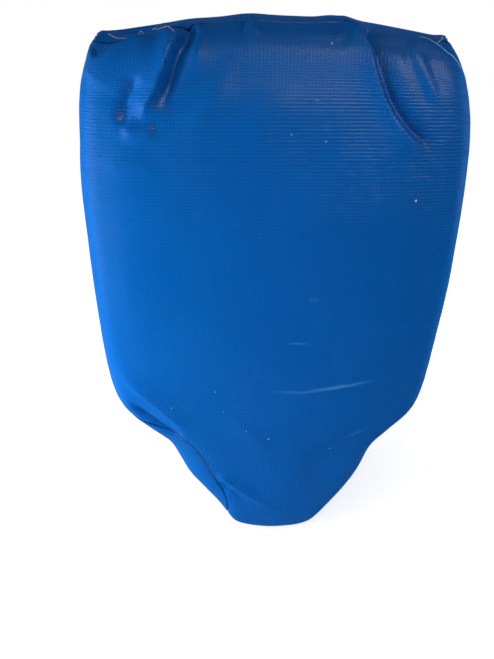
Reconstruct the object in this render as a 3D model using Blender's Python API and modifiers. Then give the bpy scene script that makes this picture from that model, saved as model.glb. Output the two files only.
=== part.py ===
"""A hand-held blocking pad, modelled as it is sewn and stuffed.

A boxed vinyl cover holds three layers of foam. The back opens along a zip, and two
webbing handles are sewn to it over vinyl patches. The pad stands upright: its front
faces -Y, its tip points down, and the origin lies midway between the two hand grips.
"""

import math

import bmesh
import bpy
from mathutils import Matrix, Vector

MM = 0.001

# Outline of the cover: drops below the top seam, and the full width at each
TOP_CORNER_DROP, TOP_WIDTH = 16 * MM, 284 * MM
CHEST_DROP, CHEST_WIDTH = 78 * MM, 340 * MM
WIDEST_DROP, PAD_WIDTH = 270 * MM, 356 * MM
HIP_DROP, HIP_WIDTH = 363 * MM, 354 * MM
TURN_DROP, TURN_WIDTH = 407 * MM, 257 * MM
NECK_DROP, NECK_WIDTH = 466 * MM, 221 * MM
TIP_CORNER_DROP, TIP_WIDTH = 562 * MM, 109 * MM
PAD_HEIGHT = 579 * MM

# What the stuffing has done to it: the top seam is raised, most of all at its corners,
# one of which stands out, and the tip leans
LEFT_EAR = 8 * MM
EAR_DROP = 32 * MM
EAR_REACH = 55 * MM
EAR_LIFT = 3.5 * MM
TOP_RISE = 2.5 * MM
TIP_LEAN = 11 * MM

# Thickness and edges of the stuffed cover
PAD_DEPTH = 127 * MM
FACE_CROWN = 8 * MM
FACE_EDGE_RADIUS = 24 * MM
BACK_EDGE_RADIUS = 12 * MM
SIDE_BULGE = 4 * MM
TOP_BULGE = 5.5 * MM

# The cover has rolled on the foam at its lower left, where the seam shows in front,
# and a little at its right shoulder
SEAM_ROLL = 61 * MM
ROLL_DROP = 455 * MM
ROLL_REACH = 95 * MM
ROLL_EVENNESS = 4
ROLL_BULGE = 0.08
CORNER_DEPTH = 5 * MM
SHOULDER_ROLL = 16 * MM
SHOULDER_REACH = 60 * MM

# The cover's main folds: places down each, in millimetres across and above the grips,
# with the height of its ridge or, below zero, the depth of its hollow
FOLDS = (
    ((-78, 243, 6), (-87, 220, 6), (-98, 202, 5), (-121, 174, 0)),
    ((-64, 243, 0), (-70, 226, -4), (-82, 203, -5), (-100, 172, 0)),
    ((52, 243, -3), (66, 230, -5), (80, 207, -5), (106, 162, 0)),
    ((78, 243, 0), (86, 220, 4), (98, 198, 4), (120, 160, 0)),
    ((-165, -48, 0), (-146, -90, 4), (-108, -130, 4), (-86, -158, 0)),
    ((-64, -206, 0), (-42, -229, 3), (-18, -250, 3), (20, -289, 0)),
)
FOLD_REACH = 12 * MM

# Vinyl and foam
VINYL = 0.8 * MM
SEAM_TRIM = 0.5 * MM
CLEARANCE = 0.3 * MM
FOAM_EASE = 0.6 * MM
STRIKE_FOAM = 42 * MM
CORE_FOAM = 45 * MM

# Zip in the centre of the back
ZIP_TOP_DROP = 62 * MM
ZIP_LENGTH = 400 * MM
ZIP_WINDOW = 15 * MM
TAPE_WIDTH = 15 * MM
TAPE = 0.6 * MM
CHAIN_WIDTH = 9 * MM
CHAIN_THICKNESS = 3 * MM
SPINE = 1.8 * MM
TOOTH_PITCH = 5 * MM
TOOTH_ROOT = 1.2 * MM
TOOTH_HEAD = 2.4 * MM
TOOTH_TIP = 1 * MM
TAPE_SEAT = 1.2 * MM
STOP_HEIGHT = 7 * MM

# Slider and pull
SLIDER_LENGTH = 17 * MM
SLIDER_MOUTH = 14.5 * MM
SLIDER_TAIL = 12.6 * MM
OUTER_PLATE = 1.5 * MM
INNER_PLATE = 1.2 * MM
FLANGE = 1 * MM
WEDGE_WIDTH = 3.8 * MM
WEDGE_LENGTH = 5 * MM
BRIDGE_WIDTH = 3 * MM
BRIDGE_SPAN = 8.4 * MM
BRIDGE_RISE = 3.3 * MM
BRIDGE_BAND = 1.3 * MM
PULL_LENGTH = 33 * MM
PULL_WIDTH = 9 * MM
PULL_THICKNESS = 1.6 * MM
PULL_BAR = 2 * MM
PULL_WINDOW = (5 * MM, 6.5 * MM)
PULL_EYE = 2 * MM

# Webbing handles and their patches
GRIP_DROP = 240 * MM
HANDLE_SPACING = 150 * MM
HANDLE_LENGTH = 310 * MM
HANDLE_SEWN = 62 * MM
HANDLE_RAMP = 46 * MM
GRIP_STANDOFF = 40 * MM
WEBBING_WIDTH = 50 * MM
WEBBING = 2.2 * MM
GRIP_WIDTH = 28 * MM
GRIP_THICKNESS = 5 * MM
PATCH_SIZE = 84 * MM
PATCH = 0.9 * MM
PATCH_CORNER = 10 * MM
HANDLE_CELLS = 40

# Vent eyelets near the top corners and the neck: half spacing and drop of each pair
VENT_PAIRS = ((104 * MM, 63 * MM), (66 * MM, 442 * MM))
VENT_BORE = 4 * MM
VENT_WALL = 0.6 * MM
VENT_FLANGE = 7.5 * MM
VENT_CROWN = 1 * MM
WASHER_RADIUS = 7 * MM
WASHER = 0.6 * MM
CLENCH = 0.7 * MM

# The back of the cover, and the planes that follow from it
BACK_Y = -GRIP_STANDOFF
FRONT_Y = BACK_Y - PAD_DEPTH
TAPE_Y = BACK_Y - VINYL - CLEARANCE - TAPE / 2
ZIP_TOP_Z = GRIP_DROP - ZIP_TOP_DROP
ZIP_BOTTOM_Z = ZIP_TOP_Z - ZIP_LENGTH

# The cage of the stuffed form; its outermost cells go round the edges
COLUMNS = 10
ROWS = 14
LAYERS = 3
EDGE_CELLS = 2

# Fineness of round shapes, the angle from which an edge is sharp, and how squarely a
# face looks one way to belong to that side
TURNED_STEPS = 16
HALF_ROUND_STEPS = 8
SHARP_ANGLE = math.radians(35)
FACING = 0.5
MERGE = 0.01 * MM

PANELS = ("face_panel", "side_gusset", "top_gusset", "back_panel_left", "back_panel_right")

FINISHES = {
    "vinyl": ((0.004, 0.096, 0.434), 0.36, 0.0),
    "strike foam": ((0.62, 0.60, 0.54), 0.95, 0.0),
    "core foam": ((0.30, 0.32, 0.34), 0.95, 0.0),
    "back foam": ((0.16, 0.17, 0.18), 0.95, 0.0),
    "webbing": ((0.012, 0.012, 0.014), 0.85, 0.0),
    "zip tape": ((0.010, 0.010, 0.012), 0.90, 0.0),
    "zip plastic": ((0.014, 0.014, 0.016), 0.40, 0.0),
    "zip metal": ((0.46, 0.46, 0.47), 0.32, 1.0),
    "brass": ((0.62, 0.45, 0.20), 0.30, 1.0),
}


# Collections, materials and objects


def clear_scene():
    for item in list(bpy.data.objects):
        bpy.data.objects.remove(item, do_unlink=True)


def add_collection(name):
    collection = bpy.data.collections.new(name)
    bpy.context.scene.collection.children.link(collection)
    return collection


def give_finish(item, finish):
    """Give a piece its own Principled material."""
    color, roughness, metallic = FINISHES[finish]
    material = bpy.data.materials.new(f"{item.name} {finish}")
    material.use_nodes = True
    shader = material.node_tree.nodes["Principled BSDF"]
    shader.inputs["Base Color"].default_value = (*color, 1)
    shader.inputs["Roughness"].default_value = roughness
    shader.inputs["Metallic"].default_value = metallic
    item.data.materials.clear()
    item.data.materials.append(material)


def add_object(name, mesh, finish=None):
    """Link a mesh as a named piece, or as a hidden cutter where it has no finish."""
    item = bpy.data.objects.new(name, mesh)
    if finish:
        parts.objects.link(item)
        give_finish(item, finish)
    else:
        cutters.objects.link(item)
        item.hide_render = True
        item.display_type = "WIRE"
    return item


def mesh_from(name, bm):
    mesh = bpy.data.meshes.new(name)
    bmesh.ops.recalc_face_normals(bm, faces=bm.faces)
    bm.to_mesh(mesh)
    bm.free()
    return mesh


def evaluated_mesh(item):
    depsgraph = bpy.context.evaluated_depsgraph_get()
    return bpy.data.meshes.new_from_object(item.evaluated_get(depsgraph))


def smooth(item):
    item.data.shade_smooth()
    item.data.set_sharp_from_angle(angle=SHARP_ANGLE)


def box_bmesh(low, high):
    bm = bmesh.new()
    bmesh.ops.create_cube(bm, size=1)
    low, high = Vector(low), Vector(high)
    bmesh.ops.scale(bm, vec=high - low, verts=bm.verts)
    bmesh.ops.translate(bm, vec=(low + high) / 2, verts=bm.verts)
    return bm


def add_box(name, low, high, finish=None):
    return add_object(name, mesh_from(name, box_bmesh(low, high)), finish)


def add_post(name, radius, centre, y_range):
    """A round cutter along Y."""
    bm = bmesh.new()
    y_low, y_high = y_range
    turn = Matrix.Rotation(math.radians(90), 4, "X")
    place = Matrix.Translation((centre[0], (y_low + y_high) / 2, centre[1]))
    bmesh.ops.create_cone(
        bm,
        cap_ends=True,
        segments=TURNED_STEPS,
        radius1=radius,
        radius2=radius,
        depth=y_high - y_low,
        matrix=place @ turn,
    )
    return add_object(name, mesh_from(name, bm))


def boolean(item, tool, operation="DIFFERENCE"):
    modifier = item.modifiers.new(tool.name, "BOOLEAN")
    modifier.operation = operation
    modifier.solver = "EXACT"
    modifier.object = tool


def flat_outline(name, outlines, thickness, matrix, finish=None):
    """A plate from flat outlines in X and Z, drawn in millimetres, with holes."""
    curve = bpy.data.curves.new(name, "CURVE")
    curve.dimensions = "2D"
    curve.fill_mode = "BOTH"
    curve.extrude = thickness / 2 / MM
    for outline in outlines:
        spline = curve.splines.new("POLY")
        spline.points.add(len(outline) - 1)
        for point, (x, z) in zip(spline.points, outline):
            point.co = (x / MM, z / MM, 0, 1)
        spline.use_cyclic_u = True
    drawn = bpy.data.objects.new(name, curve)
    bpy.context.scene.collection.objects.link(drawn)
    drawn.matrix_world = matrix @ Matrix.Rotation(math.radians(90), 4, "X") @ Matrix.Scale(MM, 4)
    bpy.context.view_layer.update()
    bm = bmesh.new()
    bm.from_mesh(evaluated_mesh(drawn))
    bmesh.ops.remove_doubles(bm, verts=bm.verts, dist=MERGE / MM)
    bm.transform(drawn.matrix_world)
    bpy.data.objects.remove(drawn)
    return add_object(name, mesh_from(name, bm), finish)


# The stuffed form that the panels and the foam share


def monotone_curve(points):
    """A smooth function through the points, which never overshoots them."""
    places, values = zip(*points)
    rises = [
        (v1 - v0) / (p1 - p0) for (p0, v0), (p1, v1) in zip(points, points[1:])
    ]
    slopes = [rises[0]]
    for before, after in zip(rises, rises[1:]):
        turns = before * after <= 0
        slopes.append(0 if turns else 2 * before * after / (before + after))
    slopes.append(rises[-1])

    def value(place):
        n = max(k for k in range(len(rises)) if k == 0 or place >= places[k])
        span = places[n + 1] - places[n]
        t = (place - places[n]) / span
        leave = (1 + 2 * t) * values[n] + t * span * slopes[n]
        arrive = (3 - 2 * t) * values[n + 1] + (t - 1) * span * slopes[n + 1]
        return (1 - t) ** 2 * leave + t**2 * arrive

    return value


def half_width_curve():
    stations = (
        (TOP_CORNER_DROP, TOP_WIDTH),
        (CHEST_DROP, CHEST_WIDTH),
        (WIDEST_DROP, PAD_WIDTH),
        (HIP_DROP, HIP_WIDTH),
        (TURN_DROP, TURN_WIDTH),
        (NECK_DROP, NECK_WIDTH),
        (TIP_CORNER_DROP, TIP_WIDTH),
    )
    return monotone_curve([(drop, width / 2) for drop, width in stations])


def row_drops(radius):
    """Drops of the cage's rows at the flanks, closest where the outline turns."""
    ease = radius * (1 - math.cos(math.radians(45)))
    tip_row = TIP_CORNER_DROP - radius
    return (
        TOP_CORNER_DROP,
        TOP_CORNER_DROP + ease,
        TOP_CORNER_DROP + radius,
        CHEST_DROP,
        (CHEST_DROP + WIDEST_DROP) / 2,
        WIDEST_DROP,
        HIP_DROP,
        (HIP_DROP + TURN_DROP) / 2,
        TURN_DROP,
        (TURN_DROP + NECK_DROP) / 2,
        NECK_DROP,
        (NECK_DROP + tip_row) / 2,
        tip_row,
        TIP_CORNER_DROP - ease,
        TIP_CORNER_DROP,
    )


def round_edge(travel, radius):
    """Inset and depth of a point that has travelled round a quarter-round edge."""
    quarter = radius * math.pi / 2
    if travel >= quarter:
        return radius + travel - quarter, 0
    angle = travel / radius
    return radius * (1 - math.cos(angle)), radius * (1 - math.sin(angle))


def seam_roll(drop, column):
    """How far the cover has slid towards the front, at a drop on one flank."""
    shoulder = max(0, 1 - abs(drop - TOP_CORNER_DROP) / SHOULDER_REACH)
    if column > COLUMNS / 2:
        return SHOULDER_ROLL * shoulder
    return SEAM_ROLL * max(0, 1 - (abs(drop - ROLL_DROP) / ROLL_REACH) ** ROLL_EVENNESS)


def tip_lean(drop):
    """How far the pad leans to the right, from nothing at the hips to all at the tip."""
    t = min(1, max(0, (drop - HIP_DROP) / (PAD_HEIGHT - HIP_DROP)))
    return TIP_LEAN * (1 - (1 - t) ** 2)


def edge_travel(cells, radius):
    """Way round the edge, over the cage's first rows or columns."""
    return min(cells, EDGE_CELLS) / EDGE_CELLS * radius * math.pi / 2


def sheet_point(column, row, radius, half_width, slide=0):
    """Place and depth of a point on the front or back sheet of the cage.

    The slide is how far the sheet's rim has been pulled round its edge.
    """
    drop = row_drops(radius)[row]
    wide = half_width(drop)
    from_side = min(column, COLUMNS - column)
    from_end = min(row, ROWS - row)
    travel = edge_travel(from_side, radius)
    if from_side > EDGE_CELLS:
        travel += (wide - radius) * (from_side - EDGE_CELLS) / (COLUMNS / 2 - EDGE_CELLS)
    travel += slide * (1 - travel / (wide - radius + radius * math.pi / 2))
    inset, depth = round_edge(travel, radius)
    depth = max(depth, round_edge(edge_travel(from_end, radius), radius)[1])
    side = -1 if column < COLUMNS / 2 else 1
    x = side * (wide - inset)
    across = min(1, abs(x) / wide)
    if row <= EDGE_CELLS:
        drop -= TOP_CORNER_DROP * (1 - across**2)
    if row >= ROWS - EDGE_CELLS:
        drop += (PAD_HEIGHT - TIP_CORNER_DROP) * (1 - across**2)
    leftness = max(0, 1 - 2 * column / COLUMNS)
    x -= LEFT_EAR * leftness * max(0, 1 - abs(drop - EAR_DROP) / EAR_REACH)
    if row == 0:
        drop -= TOP_RISE + EAR_LIFT * max(leftness**2, column // COLUMNS)
    return x + tip_lean(drop), drop, depth


def cage_point(column, layer, row, half_width):
    """World place of a cage vertex, counted from the left, the front and the top."""
    slide = seam_roll(row_drops(FACE_EDGE_RADIUS)[row], column)
    back = sheet_point(column, row, BACK_EDGE_RADIUS, half_width)
    if layer == 0:
        x, drop, depth = sheet_point(column, row, FACE_EDGE_RADIUS, half_width, slide)
        share = 1 - (2 * x / PAD_WIDTH) ** 2
        height = 1 - (2 * drop / PAD_HEIGHT - 1) ** 2
        y = FRONT_Y + depth + FACE_CROWN * (1 - max(0, share * height))
        return Vector((x, y, GRIP_DROP - drop))
    if layer == LAYERS:
        x, drop, depth = back
        return Vector((x, BACK_Y - depth, GRIP_DROP - drop))
    front = sheet_point(column, row, FACE_EDGE_RADIUS, half_width)
    t = layer / LAYERS
    x, drop = [a + (b - a) * t for a, b in zip(front[:2], back[:2])]
    front_y = FRONT_Y + front[2] + FACE_CROWN
    y = front_y + (BACK_Y - back[2] - front_y) * t
    if column in (0, COLUMNS):
        x += math.copysign(SIDE_BULGE, x)
        if layer == 1:
            share = slide / SEAM_ROLL
            y += (FRONT_Y + FACE_CROWN + CORNER_DEPTH - y) * share
            if column == 0:
                x *= 1 + 4 * ROLL_BULGE * share * (1 - share)
    if row == 0:
        drop -= TOP_BULGE
    if row == ROWS:
        drop += SIDE_BULGE
    return Vector((x, y, GRIP_DROP - drop))


def panel_of(normal, centre):
    """Which panel of the cover a face of the uncut cage belongs to."""
    if normal.y < -FACING:
        return PANELS.index("face_panel")
    if normal.z > FACING:
        return PANELS.index("top_gusset")
    if normal.y > FACING:
        left = centre.x < 0
        return PANELS.index("back_panel_left" if left else "back_panel_right")
    return PANELS.index("side_gusset")


def stuffed_form():
    """The closed outer surface of the stuffed cover, its faces marked by panel."""
    bm = bmesh.new()
    bmesh.ops.create_cube(bm, size=2)
    for axis, cells in enumerate((COLUMNS, LAYERS, ROWS)):
        normal = Vector((0, 0, 0))
        normal[axis] = 1
        for cut in range(1, cells):
            bmesh.ops.bisect_plane(
                bm,
                geom=bm.verts[:] + bm.edges[:] + bm.faces[:],
                plane_co=normal * (2 * cut / cells - 1),
                plane_no=normal,
            )
    bm.normal_update()
    for face in bm.faces:
        face.material_index = panel_of(face.normal, face.calc_center_median())
    half_width = half_width_curve()
    for vert in bm.verts:
        column = round((vert.co.x + 1) * COLUMNS / 2)
        layer = round((vert.co.y + 1) * LAYERS / 2)
        row = round((1 - vert.co.z) * ROWS / 2)
        vert.co = cage_point(column, layer, row, half_width)
    mesh = bpy.data.meshes.new("stuffed form")
    bm.to_mesh(mesh)
    bm.clear()
    cage = add_object("stuffed_form", mesh)
    rounding = cage.modifiers.new("rounding", "SUBSURF")
    rounding.levels = 1
    rounding.render_levels = 1
    bpy.context.view_layer.update()
    form = evaluated_mesh(cage)
    bm.from_mesh(form)
    lay_folds(bm)
    bmesh.ops.triangulate(bm, faces=bm.faces)
    bm.to_mesh(form)
    bm.free()
    return form


def fold_at(fold, z):
    """How far across a fold runs at a height, and how high it stands there."""
    for (x1, z1, high1), (x2, z2, high2) in zip(fold, fold[1:]):
        share = (z1 * MM - z) / ((z1 - z2) * MM)
        if 0 <= share < 1:
            return (x1 + (x2 - x1) * share) * MM, (high1 + (high2 - high1) * share) * MM
    return math.inf, 0


def lay_folds(bm):
    """Draw the front's vertices in towards its folds, and raise or sink them there."""
    bm.normal_update()
    for vert in bm.verts:
        if vert.normal.y > -FACING:
            continue
        x, y, z = vert.co
        places = [fold_at(fold, z) for fold in FOLDS]
        across, height = min(places, key=lambda place: abs(x - place[0]))
        share = (x - across) / FOLD_REACH
        if abs(share) < 1:
            vert.co.x = across + share * abs(share) * FOLD_REACH
            vert.co.y = y - height * (1 - share**2)


def trim_rim(bm, width):
    """Draw a panel's rim back along the panel, to leave a seam beside it."""
    moves = {}
    for vert in bm.verts:
        rim = [edge for edge in vert.link_edges if edge.is_boundary]
        if rim:
            inner = [edge for edge in vert.link_edges if not edge.is_boundary] or rim
            ways = [(edge.other_vert(vert).co - vert.co).normalized() for edge in inner]
            moves[vert] = sum(ways, Vector()).normalized() * width
    for vert, move in moves.items():
        vert.co += move


def inward_moves(bm, depth):
    """The moves that take a closed form's vertices inwards by an even depth."""
    bm.normal_update()
    return [vert.normal * -depth * vert.calc_shell_factor() for vert in bm.verts]


def add_panel(index, form):
    """One vinyl panel: its share of the stuffed form, with a wall inwards."""
    bm = bmesh.new()
    bm.from_mesh(form)
    inward = bm.verts.layers.float_vector.new("inward")
    for vert, move in zip(bm.verts, inward_moves(bm, VINYL)):
        vert[inward] = move
    others = [face for face in bm.faces if face.material_index != index]
    bmesh.ops.delete(bm, geom=others, context="FACES")
    for face in bm.faces:
        face.material_index = 0
    trim_rim(bm, SEAM_TRIM)
    swept = bmesh.ops.extrude_face_region(bm, geom=bm.faces[:])["geom"]
    for vert in swept:
        if isinstance(vert, bmesh.types.BMVert):
            vert.co += vert[inward]
    panel = add_object(PANELS[index], mesh_from(PANELS[index], bm), "vinyl")
    smooth(panel)
    return panel


def add_foam(name, form, y_range, finish):
    """One foam layer: the inside of the cover between two planes."""
    bm = bmesh.new()
    bm.from_mesh(form)
    for vert, move in zip(bm.verts, inward_moves(bm, VINYL + FOAM_EASE)):
        vert.co += move
    for limit, way in zip(y_range, (-1, 1)):
        if limit is None:
            continue
        cut = bmesh.ops.bisect_plane(
            bm,
            geom=bm.verts[:] + bm.edges[:] + bm.faces[:],
            plane_co=(0, limit, 0),
            plane_no=(0, way, 0),
            clear_outer=True,
        )
        rim = [edge for edge in cut["geom_cut"] if isinstance(edge, bmesh.types.BMEdge)]
        bmesh.ops.holes_fill(bm, edges=rim, sides=0)
    for face in bm.faces:
        face.material_index = 0
    layer = add_object(name, mesh_from(name, bm), finish)
    smooth(layer)
    return layer


# The zip


def comb_outline(side, top_z, bottom_z):
    """One side of the chain: a spine with dovetail teeth that reach past the centre."""
    outer = CHAIN_WIDTH / 2
    root = outer - SPINE
    reach = root - 2 * CLEARANCE
    head = reach / 2
    count = int((chain_top_z() - bottom_z) / TOOTH_PITCH)
    points = [(outer, bottom_z), (outer, top_z), (root, top_z)]
    shift = 0 if side < 0 else TOOTH_PITCH / 2
    for n in reversed(range(count)):
        middle = bottom_z + TOOTH_PITCH * (n + 0.5) + shift
        if middle + TOOTH_HEAD / 2 > chain_top_z():
            continue
        tooth = (
            (root, TOOTH_ROOT / 2),
            (-head, TOOTH_HEAD / 2),
            (-reach, TOOTH_TIP / 2),
            (-reach, -TOOTH_TIP / 2),
            (-head, -TOOTH_HEAD / 2),
            (root, -TOOTH_ROOT / 2),
        )
        points += [(x, middle + z) for x, z in tooth]
    points.append((root, bottom_z))
    return points if side > 0 else [(-x, z) for x, z in reversed(points)]


def slider_top_z():
    return ZIP_TOP_Z - STOP_HEIGHT - CLEARANCE


def chain_top_z():
    """Where the teeth end, just below the wedge of the closed slider."""
    return slider_top_z() - FLANGE - WEDGE_LENGTH - CLEARANCE


def add_teeth(side, name):
    """One comb of teeth, with a slot in its spine that seats the tape's edge."""
    bm = bmesh.new()
    front_y = TAPE_Y - CHAIN_THICKNESS / 2
    outline = comb_outline(side, slider_top_z(), ZIP_BOTTOM_Z + STOP_HEIGHT + CLEARANCE)
    front = bm.faces.new([bm.verts.new((x, front_y, z)) for x, z in outline])
    swept = bmesh.ops.extrude_face_region(bm, geom=[front])["geom"]
    back = [vert for vert in swept if isinstance(vert, bmesh.types.BMVert)]
    bmesh.ops.translate(bm, vec=(0, CHAIN_THICKNESS, 0), verts=back)
    comb = add_object(name, mesh_from(name, bm), "zip plastic")
    boolean(comb, tape_slot(side, f"{name}_slot"))


def tape_slot(side, name):
    """The slot that a spine or a stop needs for the edge of the tape."""
    inner = CHAIN_WIDTH / 2 - TAPE_SEAT - CLEARANCE
    outer = CHAIN_WIDTH
    half = TAPE / 2 + CLEARANCE
    x_low, x_high = sorted((side * inner, side * outer))
    low = (x_low, TAPE_Y - half, ZIP_BOTTOM_Z - STOP_HEIGHT)
    high = (x_high, TAPE_Y + half, ZIP_TOP_Z + STOP_HEIGHT)
    return add_box(name, low, high)


def add_tape(side, name):
    inner = CHAIN_WIDTH / 2 - TAPE_SEAT
    x_low, x_high = sorted((side * inner, side * (inner + TAPE_WIDTH)))
    low = (x_low, TAPE_Y - TAPE / 2, ZIP_BOTTOM_Z)
    high = (x_high, TAPE_Y + TAPE / 2, ZIP_TOP_Z)
    add_box(name, low, high, "zip tape")


def add_stops():
    """Crimped stops: one on each tape above the slider, one across both below."""
    half = CHAIN_THICKNESS / 2
    outer = CHAIN_WIDTH / 2
    for side, word in ((-1, "left"), (1, "right")):
        x_low, x_high = sorted((side * (outer - SPINE), side * outer))
        low = (x_low, TAPE_Y - half, ZIP_TOP_Z - STOP_HEIGHT)
        high = (x_high, TAPE_Y + half, ZIP_TOP_Z)
        stop = add_box(f"zipper_top_stop_{word}", low, high, "zip metal")
        boolean(stop, tape_slot(side, f"top_stop_slot_{word}"))
    low = (-outer, TAPE_Y - half, ZIP_BOTTOM_Z)
    high = (outer, TAPE_Y + half, ZIP_BOTTOM_Z + STOP_HEIGHT)
    stop = add_box("zipper_bottom_stop", low, high, "zip metal")
    for side, word in ((-1, "left"), (1, "right")):
        boolean(stop, tape_slot(side, f"bottom_stop_slot_{word}"))


def arch_outline(span, rise, band, sink):
    """An arch in profile: x is the height, so that it can be turned upright."""
    turns = [math.pi * n / HALF_ROUND_STEPS for n in range(HALF_ROUND_STEPS + 1)]

    def edge(along, up):
        arc = [(up * math.sin(a), along * math.cos(a)) for a in turns]
        return [(-sink, along)] + arc[1:-1] + [(-sink, -along)]

    hollow = edge(span / 2, rise)
    return edge(span / 2 + band, rise + band) + hollow[::-1]


def add_slider():
    """The slider: two plates round the chain, joined by the wedge that parts it."""
    top = slider_top_z()
    bottom = top - SLIDER_LENGTH
    half = CHAIN_THICKNESS / 2 + CLEARANCE
    corner = FLANGE
    mouth = SLIDER_MOUTH / 2
    tail = SLIDER_TAIL / 2
    shoulder = top - SLIDER_LENGTH / 3
    side = [
        (mouth - corner, top),
        (mouth, top - corner),
        (mouth, shoulder),
        (tail, shoulder - SLIDER_LENGTH / 4),
        (tail, bottom + corner),
        (tail - corner, bottom),
    ]
    plate = side + [(-x, z) for x, z in reversed(side)]
    outer_y = TAPE_Y + half + OUTER_PLATE / 2
    inner_y = TAPE_Y - half - INNER_PLATE / 2
    at_outer = Matrix.Translation((0, outer_y, 0))
    at_inner = Matrix.Translation((0, inner_y, 0))
    slider = flat_outline("zipper_slider", [plate], OUTER_PLATE, at_outer, "zip metal")
    boolean(slider, flat_outline("inner_plate", [plate], INNER_PLATE, at_inner), "UNION")

    bite = min(OUTER_PLATE, INNER_PLATE) / 2
    wedge_half = WEDGE_WIDTH / 2
    wedge_top = top - FLANGE
    low = (-wedge_half, TAPE_Y - half - bite, wedge_top - WEDGE_LENGTH)
    high = (wedge_half, TAPE_Y + half + bite, wedge_top)
    boolean(slider, add_box("wedge", low, high), "UNION")

    flange_x = CHAIN_WIDTH / 2 + CLEARANCE
    tape_gap = TAPE / 2 + CLEARANCE
    for way, word in ((-1, "left"), (1, "right")):
        x_low, x_high = sorted((way * flange_x, way * (flange_x + FLANGE)))
        for y_low, y_high, face in (
            (TAPE_Y + tape_gap, TAPE_Y + half + bite, "outer"),
            (TAPE_Y - half - bite, TAPE_Y - tape_gap, "inner"),
        ):
            low = (x_low, y_low, bottom + corner)
            high = (x_high, y_high, top - corner)
            boolean(slider, add_box(f"{face}_flange_{word}", low, high), "UNION")

    arch = arch_outline(BRIDGE_SPAN, BRIDGE_RISE, BRIDGE_BAND, bite)
    base = Vector((0, TAPE_Y + half + OUTER_PLATE, (top + bottom) / 2))
    turn = Matrix.Rotation(math.radians(90), 4, "Z")
    bridge = flat_outline("bridge", [arch], BRIDGE_WIDTH, Matrix.Translation(base) @ turn)
    boolean(slider, bridge, "UNION")
    return Vector((0, base.y + BRIDGE_RISE / 2, base.z))


def rounded_foot(half_width, z_end):
    """Points of a round lower end, from +X to -X."""
    turns = [math.pi * n / HALF_ROUND_STEPS for n in range(HALF_ROUND_STEPS + 1)]
    return [(half_width * math.cos(a), z_end - half_width * math.sin(a)) for a in turns]


def add_pull(hinge):
    """The pull tab, whose top bar turns in the slider's bridge."""
    half = PULL_WIDTH / 2
    corner = PULL_BAR / 2
    end = half - PULL_LENGTH + corner
    outside = [
        (-half, corner / 2),
        (-half + corner / 2, corner),
        (half - corner / 2, corner),
        (half, corner / 2),
    ] + rounded_foot(half, end)
    window_wide, window_long = PULL_WINDOW
    window = [
        (-window_wide / 2, -corner),
        (window_wide / 2, -corner),
        (window_wide / 2, -corner - window_long),
        (-window_wide / 2, -corner - window_long),
    ]
    turns = [math.pi * n / HALF_ROUND_STEPS for n in range(2 * HALF_ROUND_STEPS)]
    eye = [(PULL_EYE * math.cos(a), end + PULL_EYE * math.sin(a)) for a in turns]
    outlines = [outside, window, eye]
    pull = flat_outline("zipper_pull", outlines, PULL_THICKNESS, Matrix(), "zip metal")
    pull.location = hinge


# Handles, patches and vents


def add_handle(side, name):
    """A webbing handle, sewn flat at its ends and folded narrow at the grip."""
    bm = bmesh.new()
    bmesh.ops.create_cube(bm, size=2)
    for cut in range(1, HANDLE_CELLS):
        bmesh.ops.bisect_plane(
            bm,
            geom=bm.verts[:] + bm.edges[:] + bm.faces[:],
            plane_co=(0, 0, 2 * cut / HANDLE_CELLS - 1),
            plane_no=(0, 0, 1),
        )
    free_half = HANDLE_LENGTH / 2 - HANDLE_SEWN
    base_y = BACK_Y + CLEARANCE + PATCH + CLEARANCE + WEBBING / 2

    def rise(z):
        t = min(1, max(0, (free_half - abs(z)) / HANDLE_RAMP))
        return t * t * (3 - 2 * t)

    def centre(z):
        return Vector((0, base_y * (1 - rise(z)), z))

    for vert in bm.verts:
        z = vert.co.z * HANDLE_LENGTH / 2
        wide = WEBBING_WIDTH + (GRIP_WIDTH - WEBBING_WIDTH) * rise(z)
        thick = WEBBING + (GRIP_THICKNESS - WEBBING) * rise(z)
        step = HANDLE_LENGTH / HANDLE_CELLS / 2
        along = (centre(z + step) - centre(z - step)).normalized()
        out = Vector((0, along.z, -along.y))
        place = centre(z) + out * vert.co.y * thick / 2
        place.x = side * HANDLE_SPACING / 2 + vert.co.x * wide / 2
        vert.co = place
    handle = add_object(name, mesh_from(name, bm), "webbing")
    smooth(handle)


def add_patch(side, end, name):
    """A vinyl patch with round corners, under one end of a handle."""
    z = end * (HANDLE_LENGTH - HANDLE_SEWN) / 2
    x = side * HANDLE_SPACING / 2
    half = PATCH_SIZE / 2
    low = (x - half, BACK_Y + CLEARANCE, z - half)
    high = (x + half, BACK_Y + CLEARANCE + PATCH, z + half)
    bm = box_bmesh(low, high)
    upright = [edge for edge in bm.edges if edge.calc_length() < 2 * PATCH]
    bmesh.ops.bevel(
        bm,
        geom=upright,
        offset=PATCH_CORNER,
        segments=HALF_ROUND_STEPS // 2,
        profile=0.5,
        affect="EDGES",
        material=-1,
    )
    add_object(name, mesh_from(name, bm), "vinyl")


def turned_ring(name, profile, centre, finish):
    """A ring turned from a closed profile of radius and height off the back."""
    mesh = bpy.data.meshes.new(name)
    edges = [(n, (n + 1) % len(profile)) for n in range(len(profile))]
    mesh.from_pydata([(radius, 0, height) for radius, height in profile], edges, [])
    ring = add_object(name, mesh, finish)
    ring.rotation_euler = (math.radians(-90), 0, 0)
    ring.location = (centre[0], BACK_Y, centre[1])
    turning = ring.modifiers.new("turning", "SCREW")
    turning.steps = TURNED_STEPS
    turning.render_steps = TURNED_STEPS
    turning.use_merge_vertices = True
    turning.merge_threshold = MERGE
    return ring


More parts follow.
